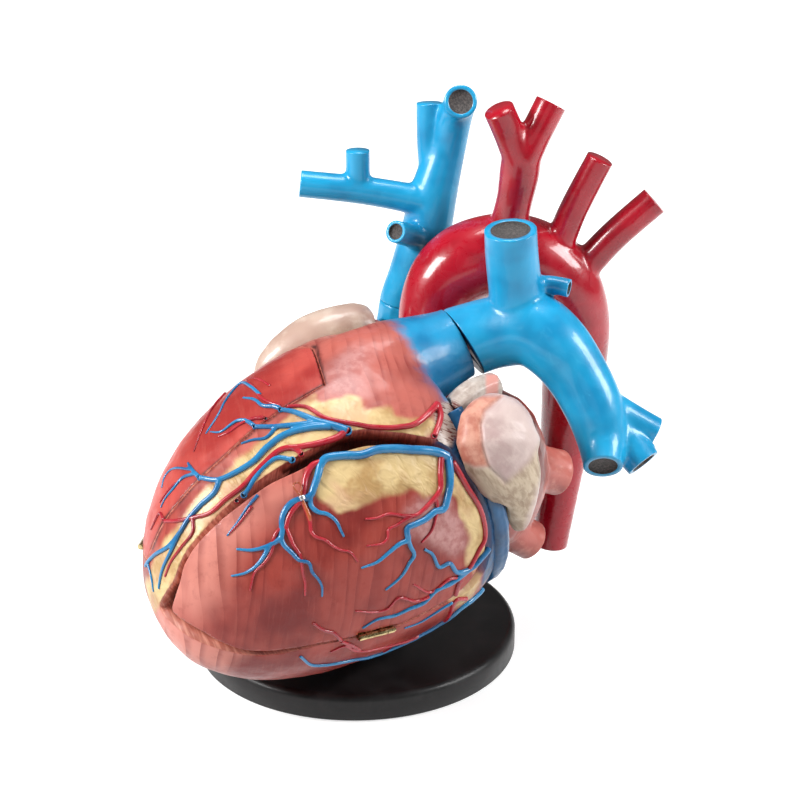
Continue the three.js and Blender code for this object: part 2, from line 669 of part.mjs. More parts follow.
// side is 1 for the leaf on the door and -1 for the leaf on the body
function hingeLeaf(frame, side) {
  const span = (low, high) => (side > 0 ? [low, high] : [-high, -low]);
  const [plateLow, plateHigh] = span(LEAF_INSET, leafOuter);
  let leaf = hingeBox(frame, [-half, plateLow, leafBottom], [half, plateHigh, leafTop]);
  for (let i = side > 0 ? 1 : 0; i < KNUCKLES; i += 2) {
    const start = -half + i * knucklePitch;
    const end = start + knucklePitch - FIT;
    leaf = leaf.add(hingeBox(frame, [start, plateLow, leafTop - 0.5], [end, plateHigh, 0]));
    leaf = leaf.add(hingeBar(frame, [start, 0, 0], [end, 0, 0], BARREL_DIAMETER / 2, 8));
  }
  leaf = leaf.subtract(hingeBar(frame, [-half - 1, 0, 0], [half + 1, 0, 0], PIN_DIAMETER / 2 + FIT, 8));
  for (const x of HINGE_SCREW_PLACES) {
    leaf = leaf.subtract(hingeScrewHole(frame, side, x));
  }
  return leaf;
}

function hingeScrewHole(frame, side, x) {
  const depth = (leafTop + leafBottom) / 2;
  const reach = side * (leafOuter + HINGE_SCREW_LENGTH + 2 * FIT);
  return hingeBar(frame, [x, 0, depth], [x, reach, depth], HINGE_SCREW_SHANK / 2 + FIT, 8);
}

function hingeScrew(frame, side, x) {
  const depth = (leafTop + leafBottom) / 2;
  const headStart = side * (LEAF_INSET - FIT - HINGE_SCREW_HEAD_HEIGHT);
  const headEnd = side * (LEAF_INSET - FIT);
  const tip = side * (leafOuter + HINGE_SCREW_LENGTH);
  const head = hingeBar(frame, [x, headStart, depth], [x, headEnd, depth], HINGE_SCREW_HEAD / 2, 8);
  const shank = hingeBar(frame, [x, headEnd - side * 0.2, depth], [x, tip, depth], HINGE_SCREW_SHANK / 2, 6);
  return head.add(shank);
}

function hingePin(frame) {
  const shaft = hingeBar(frame, [-half, 0, 0], [half + 2 * FIT, 0, 0], PIN_DIAMETER / 2, 8);
  const head = hingeBar(frame, [half + FIT, 0, 0], [half + FIT + PIN_HEAD_HEIGHT, 0, 0], PIN_HEAD / 2, 8);
  return shaft.add(head);
}

// What a hinge needs cut out of the body and the door
function hingePocket(frame) {
  const barrelRoom = BARREL_DIAMETER / 2 + 2 * FIT;
  const leafRoom = leafOuter + FIT;
  const pinEnd = half + PIN_HEAD_HEIGHT + 3 * FIT;
  const barrelSlot = hingeBox(frame, [-half - FIT, -barrelRoom, -barrelRoom], [pinEnd, barrelRoom, POCKET_REACH]);
  const leafSlot = hingeBox(frame, [-half - FIT, -leafRoom, leafBottom - FIT], [half + FIT, leafRoom, 0]);
  const holes = [1, -1].flatMap((side) => HINGE_SCREW_PLACES.map((x) => hingeScrewHole(frame, side, x)));
  return joinAll([barrelSlot, leafSlot, ...holes]);
}

const leftHingePoints = LEFT_HINGE_ENDS.map(onHeart);
const leftHinge = hingeFrame(leftHingePoints, heartPoint(...LEFT_DOOR_MIDDLE));
const rightHingePoints = RIGHT_HINGE_ENDS.map(([along, angle]) => heartPoint(along * APEX_SCALE, angle));
const rightHinge = hingeFrame(rightHingePoints, heartPoint(...RIGHT_DOOR_MIDDLE));
const leftPocket = hingePocket(leftHinge);
const rightPocket = hingePocket(rightHinge);
const leftDoor = heartOutside.subtract(wallInside(LEFT_WALL)).intersect(leftDoorCone).subtract(leftPocket);
const rightDoor = heartOutside.subtract(wallInside(RIGHT_WALL)).intersect(rightDoorCone).subtract(rightPocket);

// Pieces inside the ventricles

function muscleCone(root, tip, rootRadius, tipRadius, room) {
  const middle = root.clone().lerp(tip, 0.5);
  const rows = [[root, rootRadius], [middle, (rootRadius + tipRadius) / 2], [tip, tipRadius]];
  return sweep(rows.map(([place, radius]) => [...place.toArray(), radius]), 10, 4).intersect(room);
}

// A muscle on the wall of the left cavity, with its cords up to the mitral leaflets
function papillary(place) {
  const root = heartPoint(place.root[0], place.root[1], LEFT_WALL - PAPILLARY_SUNK);
  const tip = axisPoint(place.tip[0]).addScaledVector(leftSide, place.tip[1]);
  const muscle = muscleCone(root, tip, PAPILLARY_ROOT, PAPILLARY_TIP, leftRoom);
  const start = tip.clone().lerp(root, 0.1);
  const cords = Array.from({ length: CORDS }, (_, i) => (
    bar(start, mitralEdge(place.firstCord + i), CORD_DIAMETER / 2, 6)
  ));
  return joinAll([muscle, ...cords]);
}

// Where a cord meets the edge of the mitral leaflets, by a count of eighths of a turn
function mitralEdge(eighths) {
  const arm = leftSide.clone().applyAxisAngle(LONG_AXIS, (eighths * Math.PI) / 4);
  const reach = LEAFLET_DEPTH + FIT + CORD_DIAMETER / 2;
  const edge = MITRAL_RADIUS * LEAFLET_TAPER - LEAFLET_THICKNESS / 2;
  return mitralCentre.clone().addScaledVector(towardsApex, reach).addScaledVector(arm, edge);
}

// A funnel of leaflets hung from a ring, narrowing towards the apex
function leafletFunnel(centre, ringRadius) {
  const row = (depth, radius) => [...centre.clone().addScaledVector(towardsApex, depth).toArray(), radius];
  const rows = (grow, overshoot) => [
    row(-overshoot, ringRadius + grow),
    row(LEAFLET_DEPTH * LEAFLET_SHOULDER, ringRadius * LEAFLET_SHOULDER_WIDTH + grow),
    row(LEAFLET_DEPTH + overshoot, ringRadius * LEAFLET_TAPER + grow),
  ];
  return sweep(rows(0, 0), 14, 3).subtract(sweep(rows(-LEAFLET_THICKNESS, 1), 14, 3));
}

// A disc with three hollow cusps on its downstream face
function cuspDisc(centre, direction, radius) {
  const end = centre.clone().addScaledVector(direction, VALVE_THICKNESS);
  const disc = bar(centre, end, radius, 16);
  const side = new THREE.Vector3().crossVectors(direction, new THREE.Vector3(0, 0, 1)).normalize();
  const dents = [0, 1, 2].map((i) => {
    const arm = side.clone().applyAxisAngle(direction, (2 * Math.PI * i) / 3).multiplyScalar(radius * CUSP_PLACE);
    const size = new THREE.Vector3(1, 1, 1).multiplyScalar(radius * CUSP_SIZE);
    return blob(end.clone().add(arm), size, 7);
  });
  return disc.subtract(joinAll(dents));
}

const leftRoom = cavity(LEFT_WALL, leftSide, FIT);
const rightRoom = cavity(RIGHT_WALL, rightSide, FIT);
const baseInside = axisPoint(BASE_PLANE - BASE_WALL - FIT);
const towardsApex = LONG_AXIS.clone().negate();
const mitralCentre = baseInside.clone().addScaledVector(leftSide, MITRAL_OFFSET)
  .addScaledVector(alongSeptum, MITRAL_SIDE);
const aorticCentre = baseInside.clone().addScaledVector(leftSide, AORTIC_OFFSET)
  .addScaledVector(alongSeptum, -AORTIC_SIDE);
const tricuspidCentre = baseInside.clone().addScaledVector(rightSide, TRICUSPID_OFFSET)
  .addScaledVector(alongSeptum, MITRAL_SIDE);

// Great vessels

// What lies behind the seam of a vessel, on its side of the model only
function behindSeam(seam, direction) {
  const from = seam.clone().addScaledVector(direction, FIT);
  return bar(from, from.clone().addScaledVector(direction, -SEAM_BLOCK), SEAM_BLOCK, 12);
}

function vessel(branches, ends, sides) {
  const whole = joinAll(branches.map(([rows, steps]) => sweep(rows, sides, steps)));
  return whole.subtract(joinAll(ends.map((rows) => lumen(rows, 12))));
}

const seamTilt = new THREE.Vector3().crossVectors(TRUNK_DIRECTION, new THREE.Vector3(0, 0, 1)).normalize();
const tiltedStart = TRUNK_DIRECTION.clone().applyAxisAngle(seamTilt, radians(SEAM_GAP_ANGLE));
const seamTop = TRUNK_SEAM.clone().addScaledVector(
  new THREE.Vector3().crossVectors(seamTilt, TRUNK_DIRECTION),
  TRUNK_RADIUS,
);
const pulmonaryStart = halfSpace(seamTop.clone().addScaledVector(TRUNK_DIRECTION, FIT), tiltedStart);

function peg(through, direction) {
  const from = through.clone().addScaledVector(direction, -PEG_LENGTH / 2);
  const to = through.clone().addScaledVector(direction, PEG_LENGTH / 2);
  return bar(from, to, PEG_DIAMETER / 2, 10);
}

function pegSocket(through, direction) {
  const reach = PEG_LENGTH / 2 + FIT;
  const from = through.clone().addScaledVector(direction, -reach);
  const to = through.clone().addScaledVector(direction, reach);
  return bar(from, to, PEG_DIAMETER / 2 + FIT, 10);
}

const pulmonaryArtery = vessel(
  [[PULMONARY_PATH, 12], [PULMONARY_LIMB, 4], [PULMONARY_SIDE, 3], [PULMONARY_BACK, 3], [PULMONARY_TWIG, 2]],
  [PULMONARY_PATH, PULMONARY_LIMB, PULMONARY_SIDE, PULMONARY_BACK, PULMONARY_TWIG],
  16,
).intersect(pulmonaryStart).subtract(pegSocket(TRUNK_SEAM, PULMONARY_SLIDE));

const aorta = vessel(
  [
    [AORTA_PATH, 18], [BRACHIOCEPHALIC, 3], [BRACHIOCEPHALIC_LEFT, 3], [BRACHIOCEPHALIC_RIGHT, 3],
    [LEFT_CAROTID, 2], [LEFT_SUBCLAVIAN, 2],
  ],
  [AORTA_PATH],
  16,
).subtract(behindSeam(AORTA_SEAM, AORTA_SEAM_DIRECTION))
  .subtract(pegSocket(AORTA_SEAM, AORTA_SLIDE));

const venaCava = vessel(
  [[CAVA_PATH, 12], [CAVA_LEFT, 2], [CAVA_SIDE, 3], [CAVA_SIDE_STUB, 1], [CAVA_FRONT_STUB, 1]],
  [CAVA_PATH, CAVA_FRONT_STUB],
  14,
).subtract(behindSeam(CAVA_SEAM, CAVA_SEAM_DIRECTION))
  .subtract(pegSocket(CAVA_SEAM, CAVA_SLIDE));

// Atria and auricles

// A flattened lobe: rows of x, y, z and half width
function lobe(rows, widthDirection, flatness, extra = 0) {
  const curve = new THREE.CatmullRomCurve3(rows.map(point), false, "centripetal");
  const radii = radiusCurve(rows, 0.5);
  const steps = 10;
  const sides = 16;
  const rings = [];
  for (let i = 0; i <= steps; i += 1) {
    const share = i / steps;
    const centre = curve.getPoint(share);
    const tangent = curve.getTangent(share);
    const across = widthDirection.clone().addScaledVector(tangent, -widthDirection.dot(tangent)).normalize();
    const over = new THREE.Vector3().crossVectors(across, tangent);
    const wide = radii.getPoint(share).x + extra;
    const ring = [];
    for (let k = 0; k < sides; k += 1) {
      const angle = (2 * Math.PI * k) / sides;
      ring.push(centre.clone()
        .addScaledVector(across, wide * Math.cos(angle))
        .addScaledVector(over, wide * flatness * Math.sin(angle)));
    }
    rings.push(ring);
  }
  return loft(rings, curve.getPoint(0), curve.getPoint(1));
}

// The vein that lies in the groove between the atria and the ventricles
function sinus(extra) {
  const rows = [];
  for (let angle = SINUS_START; angle >= SINUS_END; angle -= SINUS_STEP) {
    rows.push([...heartPoint(BASE_PLANE - SINUS_INSET, angle, -1).toArray(), SINUS_RADIUS]);
  }
  return sweep(rows, 8, 14, extra);
}

const sinusClear = sinus(FIT);

const grown = (radii) => radii.clone().addScalar(FIT);
const leftAuricleClear = lobe(LEFT_AURICLE_PATH, LEFT_AURICLE_WIDTH_DIRECTION, LEFT_AURICLE_FLATNESS, FIT * 2);
const leftAuricle = lobe(LEFT_AURICLE_PATH, LEFT_AURICLE_WIDTH_DIRECTION, LEFT_AURICLE_FLATNESS)
  .subtract(heartClear).subtract(sinusClear);
const aorticRoot = sweep(AORTIC_ROOT_PATH, 16, 5).intersect(behindBase)
  .intersect(halfSpace(AORTA_SEAM, AORTA_SEAM_DIRECTION.clone().negate()))
  .subtract(conusClear).subtract(pegSocket(AORTA_SEAM, AORTA_SLIDE));
const aorticRootClear = sweep(AORTIC_ROOT_PATH, 16, 5, FIT);
const collar = sweep(COLLAR_PATH, 10, 6).subtract(heartClear).subtract(conusClear).subtract(leftAuricleClear)
  .subtract(sinusClear);
const collarClear = sweep(COLLAR_PATH, 10, 6, FIT);
const leftAtrium = blob(LEFT_ATRIUM_CENTRE, LEFT_ATRIUM_RADII, 18)
  .add(sweep(UPPER_VEIN, 16, 3)).add(sweep(LOWER_VEIN, 16, 3))
  .subtract(lumen(UPPER_VEIN, 12)).subtract(lumen(LOWER_VEIN, 12))
  .intersect(behindBase).subtract(heartClear).subtract(leftAuricleClear).subtract(conusClear)
  .subtract(aorticRootClear).subtract(collarClear).subtract(sinusClear);
const leftAtriumClear = blob(LEFT_ATRIUM_CENTRE, grown(LEFT_ATRIUM_RADII), 18)
  .add(sweep(UPPER_VEIN, 16, 3, FIT)).add(sweep(LOWER_VEIN, 16, 3, FIT));
const rightAuricle = sweep(RIGHT_AURICLE_PATH, 16, 8).subtract(heartClear).subtract(conusClear);
const rightAuricleClear = sweep(RIGHT_AURICLE_PATH, 16, 8, FIT);
const cavaStub = sweep(CAVA_PATH, 14, 8)
  .intersect(halfSpace(CAVA_SEAM, CAVA_SEAM_DIRECTION.clone().negate()))
  .subtract(blob(RIGHT_ATRIUM_CENTRE, grown(RIGHT_ATRIUM_RADII), 18))
  .subtract(rightAuricleClear).subtract(pegSocket(CAVA_SEAM, CAVA_SLIDE));
const lowerCava = sweep(CAVA_LOWER, 14, 3).subtract(lumen(CAVA_LOWER, 12))
  .subtract(blob(RIGHT_ATRIUM_CENTRE, grown(RIGHT_ATRIUM_RADII), 18)).subtract(heartClear);
const rightAtrium = blob(RIGHT_ATRIUM_CENTRE, RIGHT_ATRIUM_RADII, 18)
  .intersect(behindBase).subtract(heartClear).subtract(rightAuricleClear)
  .subtract(aorticRootClear).subtract(leftAtriumClear).subtract(conusClear)
  .subtract(pegSocket(CAVA_SEAM, CAVA_SLIDE));

const trunk = conus.intersect(halfSpace(trunkStart.clone().addScaledVector(TRUNK_DIRECTION, FIT), TRUNK_DIRECTION))
  .intersect(halfSpace(TRUNK_SEAM, againstTrunk)).subtract(heartClear)
  .subtract(pegSocket(TRUNK_SEAM, PULMONARY_SLIDE));

// Assembly

addPart("base_disc", baseDisc().subtract(screwHoles), BLACK);
addPart("post_flange", cylinderZ(FLANGE_DIAMETER, flangeBottom, flangeTop, 40)
  .subtract(screwHoles).subtract(cylinderZ(POST_DIAMETER + 2 * FIT, flangeBottom + 2, flangeTop + 1, 32)), BLACK);
aroundFlange(flangeScrew).forEach((screw, i) => addPart(`flange_screw_${i + 1}`, screw, STEEL));
addPart("support_post", cylinderZ(POST_DIAMETER, flangeBottom + 2 + FIT, cupFloor - FIT, 32)
  .add(cylinderZ(POST_SPIGOT_DIAMETER, cupFloor - 1, underside + POST_SPIGOT_LENGTH, 24)), BLACK);
addPart("support_cup", cylinderZ(CUP_DIAMETER, cupFloor, cupFloor + CUP_DIAMETER, 40)
  .subtract(heartClear)
  .subtract(cylinderZ(CUP_DIAMETER + 2, underside + CUP_RIM_RISE, BASE_DIAMETER, 32))
  .subtract(cylinderZ(POST_SPIGOT_DIAMETER + 2 * FIT, 0, BASE_DIAMETER, 24)), BLACK);
addPart("heart_body", heartBody().subtract(leftPocket).subtract(rightPocket), MUSCLE);
addPart("pulmonary_trunk", trunk, BLUE);
addPart("pulmonary_valve", cuspDisc(
  trunkStart.clone().addScaledVector(TRUNK_DIRECTION, -VALVE_STEP - VALVE_THICKNESS - FIT),
  TRUNK_DIRECTION, TRUNK_RADIUS).intersect(sweep(CONUS_PATH, 14, 6, -CONUS_WALL - FIT)), CREAM);
addPart("aortic_root", aorticRoot, RED);
addPart("right_auricle", rightAuricle, CREAM);
addPart("right_atrium", rightAtrium, SALMON);
addPart("cava_stub", cavaStub, BLUE);
addPart("inferior_vena_cava", lowerCava, BLUE);
addPart("left_auricle", leftAuricle, CREAM);
addPart("auricle_collar", collar, GREY);
addPart("left_atrium", leftAtrium, SALMON);
addPart("coronary_sinus", sinus(0).subtract(heartClear), BLUE);

addPart("front_papillary_muscle", papillary(FRONT_PAPILLARY), MUSCLE);
addPart("back_papillary_muscle", papillary(BACK_PAPILLARY), MUSCLE);
addPart("mitral_valve", leafletFunnel(mitralCentre, MITRAL_RADIUS).intersect(leftRoom), CREAM);
addPart("tricuspid_valve", leafletFunnel(tricuspidCentre, TRICUSPID_RADIUS).intersect(rightRoom), CREAM);
addPart("aortic_valve", cuspDisc(
  aorticCentre.clone().addScaledVector(LONG_AXIS, -VALVE_THICKNESS), LONG_AXIS, AORTIC_VALVE_RADIUS)
  .intersect(leftRoom), CREAM);

// A door with its hinge leaf and screws, turned about its pin from the closed pose
function hangDoor(name, frame, degreesOpen) {
  const holder = new THREE.Group();
  holder.position.copy(frame.origin);
  holder.quaternion.setFromAxisAngle(frame.axis, radians(degreesOpen));
  holder.userData.pinDirection = frame.axis.toArray();
  parts.add(holder);
  const add = (part, solid, paint) => addPart(`${name}_${part}`, solid, paint, holder, frame.origin);
  return add;
}

function addHinge(name, frame, addToDoor) {
  addPart(`${name}_hinge_body_leaf`, hingeLeaf(frame, -1), BRASS);
  addPart(`${name}_hinge_pin`, hingePin(frame), BRASS);
  addToDoor("hinge_door_leaf", hingeLeaf(frame, 1), BRASS);
  HINGE_SCREW_PLACES.forEach((x, i) => {
    addPart(`${name}_hinge_body_screw_${i + 1}`, hingeScrew(frame, -1, x), BRASS);
    addToDoor(`hinge_door_screw_${i + 1}`, hingeScrew(frame, 1, x), BRASS);
  });
}

const addToLeftDoor = hangDoor("left", leftHinge, LEFT_DOOR_AJAR);
addToLeftDoor("ventricle_door", leftDoor, MUSCLE);
addHinge("left", leftHinge, addToLeftDoor);
const addToRightDoor = hangDoor("right", rightHinge, 0);
addToRightDoor("ventricle_door", rightDoor, MUSCLE);
addHinge("right", rightHinge, addToRightDoor);

addPart("pulmonary_arteries", pulmonaryArtery, BLUE);
addPart("pulmonary_peg", peg(TRUNK_SEAM, PULMONARY_SLIDE), STEEL);
addPart("aorta", aorta, RED);
addPart("aorta_peg", peg(AORTA_SEAM, AORTA_SLIDE), STEEL);
addPart("superior_vena_cava", venaCava, BLUE);
addPart("vena_cava_peg", peg(CAVA_SEAM, CAVA_SLIDE), STEEL);

export default parts;
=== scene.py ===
"""Teaching model of the human heart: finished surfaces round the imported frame, in metres."""
import json
import math

import bmesh
import bpy
import numpy as np
from mathutils import Matrix, Vector, noise
from mathutils.bvhtree import BVHTree


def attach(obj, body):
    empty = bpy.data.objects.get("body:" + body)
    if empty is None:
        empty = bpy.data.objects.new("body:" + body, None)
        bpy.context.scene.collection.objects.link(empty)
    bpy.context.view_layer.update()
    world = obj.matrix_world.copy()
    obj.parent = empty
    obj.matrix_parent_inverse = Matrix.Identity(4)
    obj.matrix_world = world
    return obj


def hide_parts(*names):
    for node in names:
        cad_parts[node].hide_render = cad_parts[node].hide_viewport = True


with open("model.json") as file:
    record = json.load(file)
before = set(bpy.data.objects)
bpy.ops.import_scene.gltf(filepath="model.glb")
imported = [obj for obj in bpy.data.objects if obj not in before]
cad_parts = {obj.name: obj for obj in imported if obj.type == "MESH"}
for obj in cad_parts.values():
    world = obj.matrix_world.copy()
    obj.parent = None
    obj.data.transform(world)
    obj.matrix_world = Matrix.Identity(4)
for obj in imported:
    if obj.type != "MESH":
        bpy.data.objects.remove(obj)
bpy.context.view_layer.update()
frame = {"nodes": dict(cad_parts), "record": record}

MM = 0.001
COARSE = 1.0

# Ventricles: an egg along its long axis, in millimetres as in the solids
HEART_CENTRE = np.array([8.0, -35.0, 134.0])
LONG_AXIS = np.array([0.797, 0.559, 0.229])
LONG_AXIS /= np.linalg.norm(LONG_AXIS)
APEX_LENGTH = 167.0
BASE_LENGTH = 73.0
BASE_PLANE = 50.0
HALF_BREADTH = 103.0
HALF_DEPTH = 86.0
APEX_ROUNDNESS = 2.1
BASE_ROUNDNESS = 2.5
APEX_DROOP = 13.0
DROOP_POWER = 2.5
LEFT_WALL = 13.0
RIGHT_WALL = 9.0
BASE_WALL = 12.0
REBATE = 2.0
SEPTUM_THICKNESS = 12.0
LEFT_SIDE_ANGLE = -58.0
LEFT_CONE_TIP = -30.0
RIGHT_CONE_TIP = -50.0
RIGHT_SEAM_GAP = 1.2
RIGHT_SEAM_SHADOW = 0.9
LEFT_DOOR_AJAR = 3.0

# The camera of the front view, which the picture coordinates below belong to
VIEW_POINT = np.array([30.0, -1237.0, 678.0])
VIEW_PITCH = math.radians(21.9)
VIEW_FOCUS = 2000.0
PICTURE_CENTRE = 400.0
VIEW_FORWARD = np.array([0.0, math.cos(VIEW_PITCH), -math.sin(VIEW_PITCH)])
VIEW_UP = np.array([0.0, math.sin(VIEW_PITCH), math.cos(VIEW_PITCH)])
VIEW_RIGHT = np.array([1.0, 0.0, 0.0])

SIGHT = HEART_CENTRE - VIEW_POINT
SIGHT /= np.linalg.norm(SIGHT)
FRONT_DIRECTION = -SIGHT + LONG_AXIS * (SIGHT @ LONG_AXIS)
FRONT_DIRECTION /= np.linalg.norm(FRONT_DIRECTION)
UP_DIRECTION = np.cross(FRONT_DIRECTION, LONG_AXIS)

# Door and opening outlines, as picture coordinates
LEFT_OPENING = [
    (159, 608), (163, 596), (171, 584), (184, 554), (202, 532), (223, 510), (247, 489), (269, 473),
    (297, 456), (321, 443), (340, 434), (362, 429), (390, 431), (431, 438), (446, 445), (462, 462),
    (480, 488), (491, 518), (493, 545), (486, 570), (474, 587), (455, 599), (421, 616), (394, 629),
    (358, 638), (314, 647), (282, 654), (249, 656), (217, 649), (184, 634), (168, 621),
]
LEFT_DOOR = [
    (169, 614), (171, 600), (175, 586), (182, 565), (198, 542), (219, 520), (241, 502), (266, 484),
    (292, 471), (311, 461), (341, 450), (367, 444), (406, 446), (434, 451), (446, 463), (462, 483),
    (476, 505), (483, 525), (484, 546), (478, 566), (467, 584), (453, 596), (420, 614), (393, 627),
    (358, 636), (314, 645), (282, 651), (243, 652), (217, 644), (193, 631), (178, 622),
]
# The right door's rim: distance along the long axis, and angle round it from the front
RIGHT_SEAM = [
    (-157.9, 83.42), (-151.8, 68.05), (-141.7, 58.8), (-129.9, 53.11), (-115.7, 48.62), (-94.3, 44.64),
    (-73.1, 44.42), (-52.3, 42.87), (-36.5, 42.26), (-19.1, 41.7), (-11.5, 52.09), (-0.9, 67.44),
    (-8, 90), (-22, 112), (-48, 128), (-85, 137), (-116, 138), (-134, 132), (-152, 110),
]

# Outflow tract and pulmonary trunk: x, y, z and radius
TRUNK_SEAM = np.array([68.0, 14.0, 216.0])
TRUNK_DIRECTION = np.array([0.88, 0.32, 0.35])
TRUNK_DIRECTION /= np.linalg.norm(TRUNK_DIRECTION)
TRUNK_RADIUS = 25.0
CONUS_PATH = [(-6, -25, 196, 38), (22, -10, 204, 35), (43, 3, 208, 31), (68, 14, 216, 25), (84, 20, 222, 25)]
SEAM_GAP_ANGLE = math.radians(7)

# Great vessels: x, y, z and radius
PULMONARY_PATH = [
    (66, 13, 215, 25), (92, 12, 224, 24), (116, 6, 229, 25), (131, -2, 221, 23.5),
    (146, -8, 203, 21), (158, -17, 181, 19.5), (162.5, -26, 163, 16.5), (162.5, -42, 151, 13),
]
PULMONARY_LIMB = [(110, 8, 222, 20), (106, 9, 255, 18), (103, 6, 278, 17.5), (101.4, 3, 298, 17.3)]
PULMONARY_SIDE = [(156, -15, 184, 15), (175, -17, 164, 13.5), (190.5, -29, 147.5, 12.2)]
PULMONARY_BACK = [(158, -13, 186, 13), (178, -13, 174.5, 11.5), (199, -14, 164, 9.8)]
PULMONARY_TWIG = [(108, 10, 256, 6), (126, 13, 258, 6), (141, 8, 256.5, 6.4)]
AORTA_SEAM = np.array([50.0, 55.0, 202.0])
AORTA_SEAM_DIRECTION = np.array([0.0, 0.2, 0.98])
AORTA_PATH = [
    (51, 56, 194, 21), (52, 65, 220, 23), (60, 69, 240, 25.5), (73, 71, 252, 27.5), (90, 73, 258, 28),
    (108, 74, 259, 28), (126, 76, 253, 27), (143, 78, 236, 25.5), (152, 80, 212, 24), (153, 82, 179, 23),
    (150, 84, 134, 19.5), (146, 87, 85, 15.5), (140, 90, 32, 13.5),
]
BRACHIOCEPHALIC = [(100, 68, 266, 14), (107, 65, 299, 12.4), (110, 61, 321, 13.6), (111, 59, 334, 13.2)]
BRACHIOCEPHALIC_LEFT = [(111, 58, 329, 12), (102, 56, 349, 10.6), (95, 52, 365, 10.4)]
BRACHIOCEPHALIC_RIGHT = [(111, 58, 329, 12), (120, 61, 347, 10.8), (130, 66, 366, 10.8)]
LEFT_CAROTID = [(135, 72, 254, 10.5), (146, 70, 288, 10), (164, 67, 328, 9.5)]
LEFT_SUBCLAVIAN = [(152, 76, 243, 11), (175, 76, 270, 10.5), (203, 77, 296, 10.5)]
CAVA_SEAM = np.array([31.0, 108.0, 212.0])
CAVA_SEAM_DIRECTION = np.array([0.25, 0.0, 0.97])
CAVA_PATH = [
    (26, 108, 186, 15), (31, 108, 214, 15.5), (38, 109, 232, 16.5),
    (48, 110, 264, 17.5), (54, 111, 294, 16.5), (62, 114, 322, 13.5),
    (67.5, 110, 345, 12), (70.5, 100, 358, 11.4), (71, 90, 361.5, 11.4),
]
CAVA_LEFT = [(55, 112, 296, 11), (51, 116, 327, 9.5), (50, 118, 354, 9)]
CAVA_SIDE = [(54, 106, 286, 11), (9, 104, 295, 10), (-39, 102, 301, 9.5)]
CAVA_SIDE_STUB = [(1, 104, 296, 8.5), (1, 104, 324, 8.5)]
CAVA_FRONT_STUB = [(50, 108, 258, 9), (27, 74, 275, 8)]
WALL_SHARE = 0.2
LEAST_WALL = 0.8
LUMEN_DEPTH = 2.0

# Coronary vessels: routes as picture coordinates, with the radius at the start and the end
BODY_VEINS = [
    ([(347, 431), (336, 427), (318, 422), (306, 417), (293, 412), (281, 410)], 2.9, 1.5),
    ([(318, 423), (300, 425), (274, 427), (255, 427)], 2.1, 1.5),
    ([(276, 428), (266, 438), (253, 440), (241, 444)], 1.4, 0.8),
    ([(330, 427), (311, 428), (285, 435), (268, 447), (253, 462), (235, 473), (218, 480), (200, 478)],
     2.5, 1.6),
    ([(220, 480), (215, 492), (201, 505), (188, 520), (180, 533), (168, 547), (155, 555), (146, 566)],
     1.9, 1.2),
    ([(180, 533), (171, 552), (163, 569), (159, 589)], 1.5, 0.9),
    ([(148, 562), (152, 578), (154, 592)], 1.1, 0.7),
    ([(292, 460), (278, 458), (266, 465), (255, 478), (248, 490), (244, 495)], 1.6, 1.5),
    ([(484, 590), (462, 606), (436, 630), (412, 641), (388, 652), (350, 660), (314, 665), (300, 656)],
     2.0, 1.0),
    ([(452, 602), (436, 612), (420, 622), (404, 628)], 1.2, 0.7),
]
BODY_ARTERIES = [
    ([(437, 404), (426, 416), (413, 425), (391, 428), (369, 427), (359, 425), (347, 423), (325, 418),
      (305, 407), (287, 407)], 2.2, 1.3),
    ([(437, 404), (440, 416), (434, 436)], 2.2, 1.9),
    ([(347, 428), (340, 436), (325, 442), (301, 447), (281, 450), (266, 462), (255, 473), (241, 488),
      (225, 500), (210, 513), (193, 518)], 2.3, 1.4),
    ([(193, 517), (193, 532), (181, 548), (171, 562), (165, 577)], 1.3, 0.8),
    ([(193, 518), (188, 519), (176, 521), (165, 521)], 1.4, 1.3),
    ([(301, 454), (296, 450), (290, 449)], 1.7, 1.3),
    ([(466, 598), (455, 600), (441, 628), (420, 640), (392, 645), (357, 651), (344, 646), (330, 652)],
     1.6, 0.8),
    ([(392, 645), (380, 655), (365, 658)], 1.0, 0.7),
    ([(341, 641), (352, 645), (360, 650)], 1.3, 1.0),
]
RIGHT_DOOR_VEINS = [
    ([(260, 395), (251, 387), (240, 384), (230, 395), (220, 412), (212, 425), (206, 434)], 1.3, 0.7),
    ([(280, 409), (275, 407), (263, 406), (255, 400), (243, 398)], 1.7, 0.8),
    ([(254, 426), (246, 421), (238, 421), (231, 425), (221, 432), (210, 432)], 1.6, 0.6),
    ([(199, 477), (195, 473), (192, 469), (188, 463)], 1.6, 0.9),
    ([(195, 474), (183, 478), (175, 487), (166, 498), (161, 508)], 1.3, 0.7),
    ([(192, 470), (186, 469), (171, 470), (165, 477), (162, 488)], 1.1, 0.6),
]
RIGHT_DOOR_ARTERIES = [
    ([(280, 406), (270, 403), (261, 398), (256, 390), (246, 380)], 1.3, 0.7),
    ([(264, 418), (250, 420), (238, 426), (228, 433), (218, 437)], 1.5, 0.7),
    ([(224, 391), (213, 408), (202, 430), (194, 452)], 1.0, 0.7),
    ([(164, 520), (160, 513), (155, 522), (151, 530)], 1.3, 0.7),
    ([(176, 483), (168, 491), (160, 503)], 0.9, 0.6),
    ([(270, 386), (260, 380), (250, 378)], 0.9, 0.6),
]
